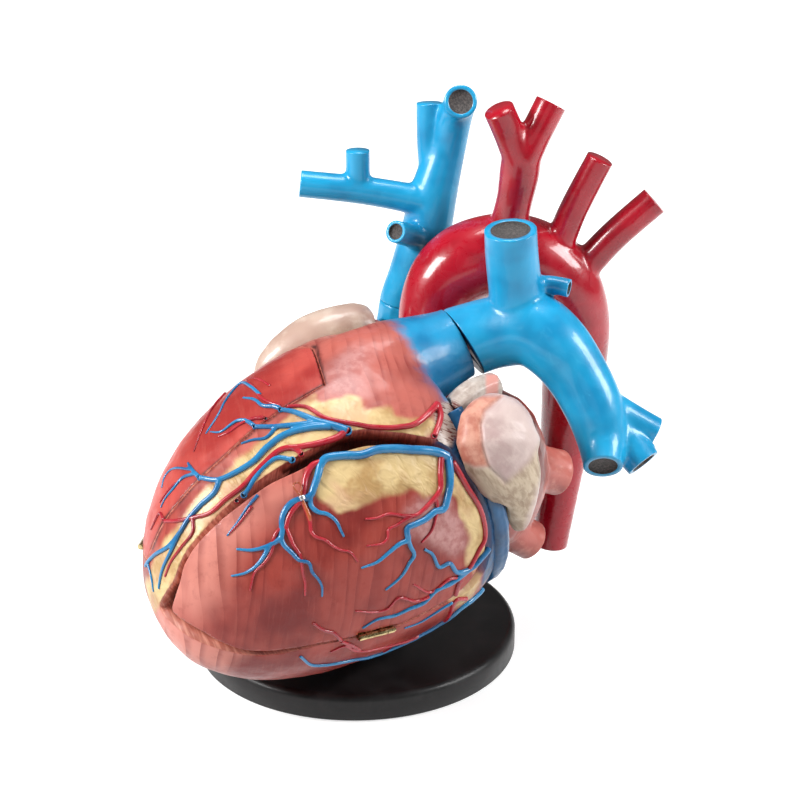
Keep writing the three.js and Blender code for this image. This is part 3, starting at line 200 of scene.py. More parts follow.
# Cut ends of vessels at the seams: picture coordinates and radius
VEIN_ENDS = [(347, 431, 3.2), (292, 460, 2.2), (244, 495, 2.2), (281, 410, 1.9), (255, 427, 1.8),
             (200, 478, 1.9)]
ARTERY_ENDS = [(301, 454, 2.0), (237, 501, 1.8), (266, 419, 1.5), (165, 521, 1.5), (434, 436, 2.2),
               (456, 600, 1.5)]
LEFT_DOOR_VEINS = [
    ([(447, 457), (435, 452), (413, 450), (391, 449), (377, 450), (362, 455), (341, 456), (325, 459),
      (320, 466)], 3.0, 2.6),
    ([(320, 466), (318, 475), (314, 487), (310, 496), (302, 499), (293, 502), (286, 509), (282, 519),
      (282, 531), (281, 538)], 2.5, 1.8),
    ([(281, 538), (272, 544), (265, 547), (252, 550), (236, 549)], 1.8, 0.8),
    ([(270, 545), (264, 556), (256, 566), (245, 573), (231, 576)], 1.6, 0.7),
    ([(281, 538), (284, 545), (292, 553), (299, 560), (309, 563), (312, 572), (318, 579), (322, 587),
      (322, 597)], 1.7, 0.7),
    ([(310, 496), (311, 506), (318, 512), (327, 514), (336, 521), (341, 531), (344, 537)], 1.9, 0.8),
    ([(447, 457), (449, 471), (449, 486), (447, 497), (443, 509), (435, 511), (425, 519), (415, 524),
      (407, 528), (408, 540)], 2.8, 1.9),
    ([(408, 540), (399, 544), (388, 553), (377, 562), (361, 568)], 1.7, 0.8),
    ([(408, 540), (410, 546), (414, 555), (409, 563), (402, 575), (385, 590)], 1.6, 0.8),
    ([(488, 548), (482, 556), (472, 567), (457, 572), (449, 563), (439, 567), (432, 554), (424, 549)],
     2.2, 1.0),
    ([(470, 568), (452, 582), (436, 590), (424, 602), (408, 609), (395, 615), (375, 620), (362, 628)],
     1.9, 0.9),
    ([(258, 495), (247, 508), (237, 523), (227, 536)], 1.1, 0.7),
]
LEFT_DOOR_ARTERIES = [
    ([(322, 462), (312, 466), (306, 477), (304, 489), (301, 500), (292, 511), (288, 519), (286, 527)],
     2.2, 1.6),
    ([(286, 527), (278, 531), (274, 538), (272, 550), (265, 562), (255, 572), (252, 582), (250, 591)],
     1.5, 0.7),
    ([(286, 527), (290, 537), (294, 546), (300, 555), (303, 574), (305, 582), (305, 596)], 1.4, 0.7),
    ([(302, 500), (310, 521), (311, 531), (316, 537), (325, 540), (333, 546), (341, 550), (350, 552),
      (358, 562)], 1.5, 0.7),
    ([(441, 455), (440, 475), (440, 489), (435, 497), (425, 508), (416, 515), (405, 516), (388, 514),
      (377, 518), (365, 519)], 2.1, 0.8),
    ([(412, 516), (403, 521), (397, 525), (388, 530), (388, 537), (383, 543), (366, 546)], 1.3, 0.7),
    ([(436, 500), (437, 509), (435, 519), (431, 531), (421, 543)], 1.4, 0.8),
    ([(452, 462), (467, 488), (479, 508), (484, 526), (484, 539), (479, 549), (470, 566), (459, 582),
      (455, 595)], 2.0, 1.5),
    ([(462, 578), (449, 579), (431, 592), (413, 584)], 1.3, 0.7),
    ([(430, 596), (416, 601), (398, 598), (385, 610), (355, 611)], 1.2, 0.7),
    ([(313, 623), (324, 630), (334, 633), (341, 640)], 1.0, 1.3),
    ([(252, 506), (240, 522), (229, 534)], 1.0, 0.7),
]

CUT_FACE = 1
LUMEN_FACE = 2
BLOCK_FACES = [(0, 3, 2, 1), (4, 5, 6, 7), (0, 1, 5, 4), (1, 2, 6, 5), (2, 3, 7, 6), (3, 0, 4, 7)]
MATERIAL_SLOTS = 3
TUBE_SIDES = 32
TUBE_STEP = 4.0
BAR_SIDES = 48
CURVE_STEPS = 24
LEAST_KNOT = 1e-6
LEAST_RINGS = 4
STEEP = 0.9
NOISE_SHIFT = np.array([17.3, 5.1, 11.7])
WELD_DISTANCE = 1e-6
SMOOTH_FACTOR = 0.5


# Curves, tubes and meshes. All helpers take millimetres and build meshes in metres.


def evenly_spaced(dense, count):
    """Points at equal steps along a dense path, with any further columns carried along."""
    reach = np.concatenate([[0], np.cumsum(np.linalg.norm(np.diff(dense[:, :3], axis=0), axis=1))])
    wanted = np.linspace(0, reach[-1], count)
    return np.stack([np.interp(wanted, reach, column) for column in dense.T], axis=1)


def catmull_rom(points, count):
    """Points spaced evenly along a centripetal curve."""
    points = np.asarray(points, float)
    padded = np.vstack([2 * points[0] - points[1], points, 2 * points[-1] - points[-2]])
    dense = []
    for i in range(len(points) - 1):
        p0, p1, p2, p3 = padded[i:i + 4]
        knots = np.cumsum([0] + [max(np.linalg.norm(b[:3] - a[:3]) ** 0.5, LEAST_KNOT)
                                 for a, b in ((p0, p1), (p1, p2), (p2, p3))])
        for share in np.linspace(0, 1, CURVE_STEPS, endpoint=i == len(points) - 2):
            t = knots[1] + (knots[2] - knots[1]) * share
            a1 = between(p0, p1, knots[0], knots[1], t)
            a2 = between(p1, p2, knots[1], knots[2], t)
            a3 = between(p2, p3, knots[2], knots[3], t)
            b1 = between(a1, a2, knots[0], knots[2], t)
            b2 = between(a2, a3, knots[1], knots[3], t)
            dense.append(between(b1, b2, knots[1], knots[2], t))
    return evenly_spaced(np.array(dense), count)


def between(a, b, start, end, t):
    return a * (end - t) / (end - start) + b * (t - start) / (end - start)


def unit(v):
    return v / np.linalg.norm(v)


def across_from(direction):
    """A direction square to another one."""
    start = np.array([0.0, 0.0, 1.0]) if abs(direction[2]) < STEEP else np.array([1.0, 0.0, 0.0])
    return unit(start - direction * (start @ direction))


def frames_along(centres):
    """Two directions across the curve at each point, turned as little as possible."""
    tangents = np.gradient(centres, axis=0)
    tangents /= np.linalg.norm(tangents, axis=1)[:, None]
    across = across_from(tangents[0])
    result = []
    for tangent in tangents:
        across = unit(across - tangent * (across @ tangent))
        result.append((across, np.cross(tangent, across)))
    return result


def tube_rings(rows, sides, step):
    """Rings of points round a path of x, y, z and radius."""
    rows = np.asarray(rows, float)
    length = np.linalg.norm(np.diff(rows[:, :3], axis=0), axis=1).sum()
    path = catmull_rom(rows, max(LEAST_RINGS, int(length / step) + 1))
    turns = np.arange(sides) * 2 * math.pi / sides
    rings = []
    for row, (across, over) in zip(path, frames_along(path[:, :3])):
        offsets = np.outer(np.cos(turns), across) + np.outer(np.sin(turns), over)
        rings.append(row[:3] + offsets * row[3])
    return rings, path[0, :3], path[-1, :3]


def closed_skin(rings, start, end):
    """Vertices and faces of a skin through the rings, closed by a point at each end."""
    sides = len(rings[0])
    vertices = [start] + [p for ring in rings for p in ring] + [end]
    faces = []
    last = len(vertices) - 1
    for k in range(sides):
        after = (k + 1) % sides
        faces.append((0, 1 + after, 1 + k))
        for r in range(len(rings) - 1):
            a, b = 1 + r * sides + k, 1 + r * sides + after
            faces.append((a, b, b + sides, a + sides))
        base = 1 + (len(rings) - 1) * sides
        faces.append((last, base + k, base + after))
    return vertices, faces


def face_outwards(shape):
    bmesh.ops.recalc_face_normals(shape, faces=shape.faces)
    if shape.calc_volume(signed=True) < 0:
        bmesh.ops.reverse_faces(shape, faces=shape.faces)


def make_mesh(name, vertices, faces, material_index=0):
    """A closed mesh with its faces turned outwards."""
    mesh = bpy.data.meshes.new(name)
    mesh.from_pydata([tuple(v * MM) for v in np.asarray(vertices, float)], [], faces)
    shape = bmesh.new()
    shape.from_mesh(mesh)
    face_outwards(shape)
    for face in shape.faces:
        face.smooth = True
        face.material_index = material_index
    shape.to_mesh(mesh)
    shape.free()
    piece = bpy.data.objects.new(name, mesh)
    bpy.context.scene.collection.objects.link(piece)
    return piece


def weld(piece):
    """Joins vertices that lie on each other."""
    shape = bmesh.new()
    shape.from_mesh(piece.data)
    bmesh.ops.remove_doubles(shape, verts=shape.verts, dist=WELD_DISTANCE)
    face_outwards(shape)
    shape.to_mesh(piece.data)
    shape.free()


def tube(name, rows, sides=TUBE_SIDES, step=TUBE_STEP, material_index=0):
    return make_mesh(name, *closed_skin(*tube_rings(rows, sides, step)), material_index)


def straight_bar(name, start, end, radius, material_index=0, sides=BAR_SIDES, end_radius=None):
    end_radius = radius if end_radius is None else end_radius
    rows = [(*start, radius), (*((np.asarray(start) + np.asarray(end)) / 2), (radius + end_radius) / 2),
            (*end, end_radius)]
    return tube(name, rows, sides, step=math.inf, material_index=material_index)


def give_slots(piece, count=MATERIAL_SLOTS):
    """Empty material slots, so that the faces keep their numbers through booleans."""
    while len(piece.data.materials) < count:
        piece.data.materials.append(None)


def bake_modifiers(piece):
    """Applies the piece's modifiers to its mesh."""
    bpy.context.view_layer.update()
    evaluated = piece.evaluated_get(bpy.context.evaluated_depsgraph_get())
    made = bpy.data.meshes.new_from_object(evaluated)
    piece.modifiers.clear()
    old = piece.data
    piece.data = made
    bpy.data.meshes.remove(old)


def drop(*pieces):
    for piece in pieces:
        mesh = piece.data
        bpy.data.objects.remove(piece)
        bpy.data.meshes.remove(mesh)


def boolean(piece, operation, cutter):
    """piece joined with, cut by or kept inside another closed mesh."""
    give_slots(piece)
    give_slots(cutter)
    step = piece.modifiers.new("boolean", "BOOLEAN")
    step.operation = operation
    step.solver = "MANIFOLD"
    step.object = cutter
    bake_modifiers(piece)
    drop(cutter)
    return piece


def cut(piece, *cutters):
    for cutter in cutters:
        boolean(piece, "DIFFERENCE", cutter)
    return piece


def remeshed(name, pieces, voxel, smoothing):
    """One smooth skin round several overlapping closed meshes."""
    vertices, faces, offset = [], [], 0
    for piece in pieces:
        vertices.append(points_of(piece))
        faces += [tuple(offset + i for i in face.vertices) for face in piece.data.polygons]
        offset += len(piece.data.vertices)
    whole = make_mesh(name, np.vstack(vertices), faces)
    drop(*pieces)
    grid = whole.modifiers.new("skin", "REMESH")
    grid.mode = "VOXEL"
    grid.voxel_size = voxel * COARSE * MM
    grid.use_smooth_shade = True
    smooth = whole.modifiers.new("smooth", "SMOOTH")
    smooth.iterations = smoothing
    smooth.factor = SMOOTH_FACTOR
    bake_modifiers(whole)
    return whole


def vertex_values(piece, name):
    flat = np.empty(len(piece.data.vertices) * 3)
    piece.data.vertices.foreach_get(name, flat)
    return flat.reshape(-1, 3)


def points_of(piece):
    """The mesh's vertices in millimetres."""
    return vertex_values(piece, "co") / MM


def normals_of(piece):
    return vertex_values(piece, "normal")


def push_out(piece, heights):
    """Moves each vertex along its normal, by millimetres."""
    points = points_of(piece) + normals_of(piece) * heights[:, None]
    piece.data.vertices.foreach_set("co", (points * MM).ravel())
    piece.data.update()


def paint(piece, name, values):
    """A named value at each vertex, which a material reads."""
    layer = piece.data.attributes.new(name, "FLOAT", "POINT")
    layer.data.foreach_set("value", np.clip(values, 0, 1).astype(np.float32))


def smoothstep(low, high, value):
    share = np.clip((value - low) / (high - low), 0, 1)
    return share * share * (3 - 2 * share)


def ripple(points, size, seed):
    """Smooth noise between about -1 and 1 at each point, with lumps of a size in millimetres."""
    return np.array([noise.noise(Vector(p / size + seed * NOISE_SHIFT)) for p in points])


def lumpy(points, ripples):
    """The sum of ripples, each given as height, size and seed."""
    return sum(height * ripple(points, size, seed) for height, size, seed in ripples)


# The egg of the ventricles


def axis_point(along):
    along = np.asarray(along, float)
    droop = np.where(along < 0, APEX_DROOP * (np.maximum(-along, 0) / APEX_LENGTH) ** DROOP_POWER, 0)
    return HEART_CENTRE + along[..., None] * LONG_AXIS - droop[..., None] * UP_DIRECTION


def heart_point(along, degrees, inset=0.0):
    along, angle = np.broadcast_arrays(np.asarray(along, float), np.radians(degrees))
    reach = np.where(along < 0, APEX_LENGTH, BASE_LENGTH) - inset
    power = np.where(along < 0, APEX_ROUNDNESS, BASE_ROUNDNESS)
    size = np.maximum(0, 1 - np.abs(along / reach) ** power) ** (1 / power)
    up = size * (HALF_BREADTH - inset) * np.sin(angle)
    front = size * (HALF_DEPTH - inset) * np.cos(angle)
    return axis_point(along) + up[..., None] * UP_DIRECTION + front[..., None] * FRONT_DIRECTION


def heart_places(points):
    """Distance along the axis, angle round it in degrees and share of the way out, for each point."""
    along = (points - HEART_CENTRE) @ LONG_AXIS
    from_axis = points - axis_point(along)
    up = from_axis @ UP_DIRECTION / HALF_BREADTH
    front = from_axis @ FRONT_DIRECTION / HALF_DEPTH
    power = np.where(along < 0, APEX_ROUNDNESS, BASE_ROUNDNESS)
    reach = np.where(along < 0, APEX_LENGTH, BASE_LENGTH)
    field = np.abs(along / reach) ** power + np.hypot(up, front) ** power
    return along, np.degrees(np.arctan2(up, front)), field


EGG_SIDES = 160
EGG_RINGS = 70
BASE_RING_SHARES = (0.25, 0.5, 0.75, 0.9, 1)


def heart_egg(name, inset=0.0, base_plane=BASE_PLANE, sides=EGG_SIDES, rings=EGG_RINGS, material_index=0):
    turns = np.linspace(0, math.pi / 2, rings + 1)[1:]
    places = list(-(APEX_LENGTH - inset) * np.cos(turns)) + [base_plane * s for s in BASE_RING_SHARES]
    angles = np.arange(sides) * 360 / sides
    skin = [list(heart_point(along, angles, inset)) for along in places]
    start = heart_point(-(APEX_LENGTH - inset), 0, inset)
    return make_mesh(name, *closed_skin(skin, start, axis_point(base_plane)), material_index)


def view_ray(pixel):
    across, down = pixel
    ray = VIEW_FORWARD + VIEW_RIGHT * (across - PICTURE_CENTRE) / VIEW_FOCUS
    return unit(ray + VIEW_UP * (PICTURE_CENTRE - down) / VIEW_FOCUS)


def picture_places(points):
    """The picture coordinates of points."""
    offset = points - VIEW_POINT
    depth = offset @ VIEW_FORWARD
    across = PICTURE_CENTRE + VIEW_FOCUS * (offset @ VIEW_RIGHT) / depth
    down = PICTURE_CENTRE - VIEW_FOCUS * (offset @ VIEW_UP) / depth
    return across, down


SIGHT_DISTANCES = np.linspace(900, 1600, 2801)
HALVINGS = 36
OUTLINE_POINTS = 220
OUTLINE_OVERLAP = 3
CONE_RINGS = np.linspace(0.06, 1, 12)
CONE_BEYOND = 1.15


def on_heart(pixel):
    """The point of the egg that is seen at a picture coordinate."""
    points = VIEW_POINT + SIGHT_DISTANCES[:, None] * view_ray(pixel)
    field = heart_places(points)[2]
    inside = np.nonzero(field < 1)[0]
    return points[inside[0]] if len(inside) else points[field.argmin()]


def distance_to_surface(origin, directions):
    near = np.zeros(len(directions))
    far = np.full(len(directions), 2 * APEX_LENGTH)
    for _ in range(HALVINGS):
        middle = (near + far) / 2
        outside = heart_places(origin + directions * middle[:, None])[2] > 1
        near = np.where(outside, near, middle)
        far = np.where(outside, middle, far)
    return near


def smooth_outline(points):
    """A closed curve through the points."""
    looped = np.vstack([points[-OUTLINE_OVERLAP:], points, points[:OUTLINE_OVERLAP]])
    dense = catmull_rom(looped, OUTLINE_POINTS * 3)
    start = np.argmin(np.linalg.norm(dense - points[0], axis=1)[:OUTLINE_POINTS])
    spread = np.linalg.norm(dense - dense[start], axis=1)
    tail = start + OUTLINE_POINTS // 2
    return evenly_spaced(dense[start:tail + np.argmin(spread[tail:])], OUTLINE_POINTS)


def cone_through(name, apex, outline):
    """A cone from a point inside the egg through an outline on its surface and beyond it."""
    middle = unit(outline.mean(axis=0) - apex)
    rims = (outline - apex) / np.linalg.norm(outline - apex, axis=1)[:, None]
    angles = np.arccos(np.clip(rims @ middle, -1, 1))[:, None]
    rings = []
    for share in CONE_RINGS:
        directions = (np.sin((1 - share) * angles) * middle + np.sin(share * angles) * rims) / np.sin(angles)
        directions /= np.linalg.norm(directions, axis=1)[:, None]
        rings.append(apex + directions * (distance_to_surface(apex, directions) * CONE_BEYOND)[:, None])
    top = apex + middle * distance_to_surface(apex, middle[None])[0] * CONE_BEYOND
    return make_mesh(name, *closed_skin(rings, top, apex), CUT_FACE)


def drawn_in(outline, gap):
    towards = outline.mean(axis=0) - outline
    return outline + gap * towards / np.linalg.norm(towards, axis=1)[:, None]


# Skins of the ventricles

BLOCK_SIZE = 500.0
SKIN_VOXEL = 1.7
SKIN_SMOOTHING = 26
TRACT_SIDES = 64
INSIDE_MESH = (96, 40)
HOLLOW_MESH = (80, 36)
# Height, size and seed of each ripple
SKIN_RIPPLES = [(0.55, 26, 1), (0.22, 9, 2)]
HOLLOW_RIPPLES = [(0.9, 11, 4), (0.5, 5, 5)]
FLUTE_HEIGHT = 0.28
FLUTE_PITCH = 7.5
FLUTE_SLANT = 70.0
FLUTE_SPREAD = 60.0
RELIEF_FADE = (9.0, 3.0)
SKIN_SINK = 0.45
HOLLOW_RISE = 0.6
BARREL_RISE = 1.0
HINGE_LENGTH = 25.0
BARREL_ROOM = 2.6
LEAF_ROOM = 2.2
LEAF_BOTTOM = -9.6
POCKET_REACH = 8.0
POCKET_FIT = 0.3
PIN_ROOM = 1.7
SLOPE_STEP = 0.5


def half_space(name, through, normal):
    """A large block on the side of a plane that its normal points to."""
    normal = unit(np.asarray(normal, float))
    across = across_from(normal) * BLOCK_SIZE
    over = np.cross(normal, across)
    low = np.asarray(through, float)
    corners = [low - across - over, low + across - over, low + across + over, low - across + over]
    corners += [c + normal * BLOCK_SIZE for c in corners]
    return make_mesh(name, corners, BLOCK_FACES, CUT_FACE)


def ventricle_skin():
    """The outside of the ventricles with the outflow tract, smooth and slightly uneven."""
    forms = [heart_egg("egg"), tube("tract", CONUS_PATH, TRACT_SIDES)]
    whole = remeshed("ventricle_skin", forms, SKIN_VOXEL, SKIN_SMOOTHING)
    points = points_of(whole)
    along = heart_places(points)[0]
    relief = lumpy(points, SKIN_RIPPLES) + fibre_ridges(points) * FLUTE_HEIGHT
    on_wall = 1 - smoothstep(BASE_PLANE - RELIEF_FADE[0], BASE_PLANE - RELIEF_FADE[1], along)
    push_out(whole, relief * on_wall - SKIN_SINK)
    return whole


def fibre_ridges(points):
    """Shallow ridges along the muscle fibres, which run up over the wall from the apex side."""
    along, angle, _ = heart_places(points)
    places = np.stack([along / FLUTE_PITCH + angle / FLUTE_SLANT, angle / FLUTE_SPREAD, along * 0], axis=1)
    return np.array([noise.noise(Vector(p)) for p in places])


def hinge_frame(ends, door_middle):
    """Origin, pin direction, direction to the door and outward direction of a hinge."""
    place = (ends[0] + ends[1]) / 2
    slope = np.array([heart_places((place + d)[None])[2][0] - heart_places((place - d)[None])[2][0]
                      for d in np.eye(3) * SLOPE_STEP])
    along = unit(ends[1] - ends[0])
    outwards = unit(slope)
    outwards = unit(outwards - along * (outwards @ along))
    towards = np.cross(outwards, along)
    if towards @ (door_middle - place) < 0:
        towards = -towards
    return place + outwards * BARREL_RISE, np.cross(towards, outwards), towards, outwards


# The left barrel's ends in the picture, and the other places along the axis and round it
LEFT_BARREL = [(358, 637), (393, 628)]
RIGHT_BARREL = [(-151, 110), (-135, 132)]
LEFT_DOOR_MIDDLE = (-40, -20)
RIGHT_DOOR_MIDDLE = (-60, 86)
LEFT_HINGE = hinge_frame([on_heart(pixel) for pixel in LEFT_BARREL], heart_point(*LEFT_DOOR_MIDDLE))
RIGHT_HINGE = hinge_frame([heart_point(*place) for place in RIGHT_BARREL], heart_point(*RIGHT_DOOR_MIDDLE))


def hinge_block(name, hinge, low, high):
    """A block between two corners, given along the hinge's own directions."""
    origin, *axes = hinge
    corners = [origin + axes[0] * x + axes[1] * y + axes[2] * z for z in (low[2], high[2])
               for x, y in ((low[0], low[1]), (high[0], low[1]), (high[0], high[1]), (low[0], high[1]))]
    return make_mesh(name, corners, BLOCK_FACES, CUT_FACE)


def hinge_pocket(hinge):
    """Cutters that make room for a hinge's barrel and its leaves."""
    half = HINGE_LENGTH / 2
    return [
        hinge_block("barrel_slot", hinge, (-half - POCKET_FIT, -BARREL_ROOM, -BARREL_ROOM),
                    (half + PIN_ROOM, BARREL_ROOM, POCKET_REACH)),
        hinge_block("leaf_slot", hinge, (-half - POCKET_FIT, -LEAF_ROOM, LEAF_BOTTOM),
                    (half + POCKET_FIT, LEAF_ROOM, 0)),
    ]


def wall_inside(name, depth):
    return heart_egg(name, depth, BASE_PLANE - BASE_WALL, *INSIDE_MESH, CUT_FACE)


def copy_of(piece, name):
    twin = bpy.data.objects.new(name, piece.data.copy())
    bpy.context.scene.collection.objects.link(twin)
    return twin


LEFT_SIDE = (UP_DIRECTION * math.sin(math.radians(LEFT_SIDE_ANGLE))
             + FRONT_DIRECTION * math.cos(math.radians(LEFT_SIDE_ANGLE)))


def hollow(name, wall, side):
    """The space inside one ventricle, on its side of the septum."""
    inside = heart_egg(name, wall, BASE_PLANE - BASE_WALL, *HOLLOW_MESH, CUT_FACE)
    push_out(inside, lumpy(points_of(inside), HOLLOW_RIPPLES) + HOLLOW_RISE)
    return boolean(inside, "INTERSECT", half_space("side", HEART_CENTRE + side * SEPTUM_THICKNESS / 2, side))


right_outline = np.array([heart_point(along, angle) for along, angle in RIGHT_SEAM])
left_opening, left_rim = (smooth_outline(np.array([on_heart(pixel) for pixel in outline]))
                          for outline in (LEFT_OPENING, LEFT_DOOR))

skin = ventricle_skin()
skin_tree = BVHTree.FromPolygons([Vector(p) for p in points_of(skin)],
                                 [tuple(face.vertices) for face in skin.data.polygons])


def carve_body():
    """The skin hollowed out, with both openings and their rebates."""
    body = copy_of(skin, "heart_body_shell")
    cutters = [
        hollow("left_hollow", LEFT_WALL, LEFT_SIDE),
        hollow("right_hollow", RIGHT_WALL, -LEFT_SIDE),
        cut(cone_through("left_trough", axis_point(LEFT_CONE_TIP), left_opening),
            wall_inside("left_floor", LEFT_WALL + REBATE)),
        cut(cone_through("right_trough", axis_point(RIGHT_CONE_TIP), right_outline),
            wall_inside("right_floor", RIGHT_WALL + REBATE)),
        *hinge_pocket(LEFT_HINGE), *hinge_pocket(RIGHT_HINGE),
        half_space("behind_seam", TRUNK_SEAM, TRUNK_DIRECTION),
    ]
    return cut(body, *cutters)


def carve_door(name, wall, tip, outline, hinge):
    door = copy_of(skin, name)
    cut(door, wall_inside("inner_face", wall))
    boolean(door, "INTERSECT", cone_through("rim", axis_point(tip), outline))
    return cut(door, *hinge_pocket(hinge))


def turned(hinge, degrees):
    """The matrix of a turn about a hinge's pin, in metres."""
    origin = Vector(hinge[0] * MM)
    turn = Matrix.Rotation(math.radians(degrees), 4, Vector(hinge[1]))
    return Matrix.Translation(origin) @ turn @ Matrix.Translation(-origin)


AJAR = turned(LEFT_HINGE, LEFT_DOOR_AJAR)
heart_body = carve_body()
# The left door stops short of the body in its apex corner, where the cut ledge shows
LEDGE_CORNER = (186, 618)
LEDGE_REACH = 75.0
LEDGE_CORE = 15.0
LEDGE_WIDTH = 4.0
across, down = picture_places(left_rim)
near_corner = smoothstep(LEDGE_REACH, LEDGE_CORE, np.hypot(across - LEDGE_CORNER[0], down - LEDGE_CORNER[1]))
left_rim = drawn_in(left_rim, (LEDGE_WIDTH * near_corner)[:, None])
left_door = carve_door("left_door_shell", LEFT_WALL, LEFT_CONE_TIP, left_rim, LEFT_HINGE)
right_door = carve_door("right_door_shell", RIGHT_WALL, RIGHT_CONE_TIP,
                        drawn_in(right_outline, RIGHT_SEAM_GAP + RIGHT_SEAM_SHADOW), RIGHT_HINGE)
left_door.data.transform(AJAR)


# Coronary vessels in relief

RELIEF_RISE = 0.3
RELIEF_SPACING = 1.8
LEAST_RELIEF_RINGS = 5
RELIEF_SIDES = 12
RELIEF_STEP = 1.4
TREE_SMOOTHING = 3
END_ROOT = 2.0
END_RISE = 0.6
BORE_SHARE = 0.7
BORE_FLOOR = 0.1
BORE_REACH = 3
END_SIDES = 24
BORE_SIDES = 20
END_VOXEL = 0.45
END_SMOOTHING = 4
LOOP_VOXEL = 0.3
LOOP_SIDES = 12
LOOP_STEP = 0.7
LOOP_SMOOTHING = 2
CRIMP_HALF = 1.5
CRIMP_SMOOTHING = 3
CRIMP_RADIUS = 1.9
FAR_VEINS = [
    ([(44, 205), (20, 208), (-20, 206), (-60, 210), (-100, 214), (-128, 222)], 2.8, 1.1),
    ([(-20, 206), (-34, 222), (-58, 236), (-86, 244)], 1.8, 0.8),
    ([(-60, 210), (-74, 196), (-96, 186)], 1.6, 0.8),
    ([(20, 208), (6, 228), (-14, 246), (-40, 258)], 1.8, 0.8),
    ([(10, 207), (-2, 188), (-22, 174), (-50, 166)], 1.6, 0.8),
]
FAR_ARTERIES = [
    ([(44, 199), (20, 201), (-20, 199), (-60, 203), (-98, 206)], 2.3, 1.0),
    ([(0, 200), (-12, 186), (-40, 176), (-66, 172)], 1.5, 0.7),
    ([(-36, 201), (-50, 218), (-76, 228)], 1.5, 0.7),
    ([(43, 172), (44, 185), (44, 199)], 2.3, 2.3),
    ([(43, 262), (28, 256), (6, 258), (-24, 266), (-52, 270)], 2.0, 0.8),
]


def seen_on_skin(pixel, door_matrix=None):
    """The point of the closed skin seen at a picture coordinate, on the body or on a door left ajar."""
    origin, ray = Vector(VIEW_POINT), Vector(view_ray(pixel))
    if door_matrix is not None:
        back = door_matrix.inverted()
        origin = (back @ (origin * MM)) / MM
        ray = back.to_3x3() @ ray
    place = skin_tree.ray_cast(origin, ray)[0]
    return np.array(place if place is not None else on_heart(pixel))


def seen_on_left_door(pixel):
    return seen_on_skin(pixel, AJAR)


def on_far_side(place):
    return heart_point(*place)


def nearest_skin(place):
    """The nearest point of the skin and its outward direction."""
    nearest, normal, _, _ = skin_tree.find_nearest(Vector(place))
    return np.array(nearest), np.array(normal)


def relief_tube(points, start_radius, end_radius):
    """A tapered tube that lies half sunk in the skin."""
    length = np.linalg.norm(np.diff(points, axis=0), axis=1).sum()
    path = catmull_rom(points, max(LEAST_RELIEF_RINGS, int(length / RELIEF_SPACING)))
    rows = []
    for place, radius in zip(path, np.linspace(start_radius, end_radius, len(path))):
        nearest, normal = nearest_skin(place)
        rows.append((*(nearest + normal * radius * RELIEF_RISE), radius))
    return tube("relief", rows, RELIEF_SIDES, RELIEF_STEP)


def coronary_tree(name, routes, locate, voxel):
    """Tapered tubes along routes whose places locate finds on the skin."""
    pieces = [relief_tube(np.array([locate(place) for place in places]), start_radius, end_radius)
              for places, start_radius, end_radius in routes]
    return remeshed(name, pieces, voxel, TREE_SMOOTHING)


def cut_ends(name, ends):
    """Short vessel ends that stand out of the skin and turn half to the view, with a dark bore."""
    places = []
    for across, down, radius in ends:
        place = seen_on_skin((across, down))
        places.append((place, unit(nearest_skin(place)[1] + unit(VIEW_POINT - place)), radius))
    bars = [straight_bar("end", place - way * END_ROOT, place + way * radius * END_RISE, radius,
                         sides=END_SIDES) for place, way, radius in places]
    whole = remeshed(name, bars, END_VOXEL, END_SMOOTHING)
    for place, way, radius in places:
        cut(whole, straight_bar("bore", place + way * BORE_FLOOR, place + way * BORE_REACH * radius,
                                radius * BORE_SHARE, LUMEN_FACE, BORE_SIDES))
    return whole


def over_left_door(pixel, height):
    """A point seen on the left door and raised from it, in millimetres."""
    place = seen_on_left_door(pixel)
    raised = Vector(place) + Vector(nearest_skin(place)[1]) * height
    return np.array((AJAR @ (raised * MM)) / MM)


# Name, routes, how their places are found, and voxel
CORONARY_TREES = [
    ("body_coronary_veins", BODY_VEINS, seen_on_skin, 0.5),
    ("body_coronary_arteries", BODY_ARTERIES, seen_on_skin, 0.5),
    ("far_coronary_veins", FAR_VEINS, on_far_side, 0.6),
    ("far_coronary_arteries", FAR_ARTERIES, on_far_side, 0.6),
    ("right_door_coronary_veins", RIGHT_DOOR_VEINS, seen_on_skin, 0.5),
    ("right_door_coronary_arteries", RIGHT_DOOR_ARTERIES, seen_on_skin, 0.5),
    ("left_door_coronary_veins", LEFT_DOOR_VEINS, seen_on_left_door, 0.5),
    ("left_door_coronary_arteries", LEFT_DOOR_ARTERIES, seen_on_left_door, 0.5),
]
coronaries = {name: coronary_tree(name, *rest) for name, *rest in CORONARY_TREES}
for name in ("left_door_coronary_veins", "left_door_coronary_arteries"):
    coronaries[name].data.transform(AJAR)

# The pull loop: picture coordinates, height over the door, and radius
LOOP = [(302, 498, 2.2), (298, 494, 3.4), (294, 489, 3.8), (294, 485, 3.6), (298, 484, 3.4), (301, 488, 3.2),
        (301, 493, 3.0), (302, 498, 2.2)]
LOOP_RADIUS = 0.62
LOOP_TAIL = [(302, 498, 2.2, 0.7), (304, 504, 1.6, 1.0), (307, 511, 1.4, 1.2), (309, 516, 1.2, 1.3),
             (310, 521, 0.8, 0.9)]
loop_rows = [[(*over_left_door(row[:2], row[2]), row[3]) for row in rows]
             for rows in ([(*row, LOOP_RADIUS) for row in LOOP], LOOP_TAIL)]
loop_tubes = [tube("turn", rows, LOOP_SIDES, LOOP_STEP) for rows in loop_rows]
pull_loop = remeshed("pull_loop", loop_tubes, LOOP_VOXEL, LOOP_SMOOTHING)
CRIMP_PLACE = ((302, 498), 2.2)
CRIMP_AIM = ((304, 503), 2.0)
crimp_middle = over_left_door(*CRIMP_PLACE)
crimp_way = unit(over_left_door(*CRIMP_AIM) - crimp_middle) * CRIMP_HALF
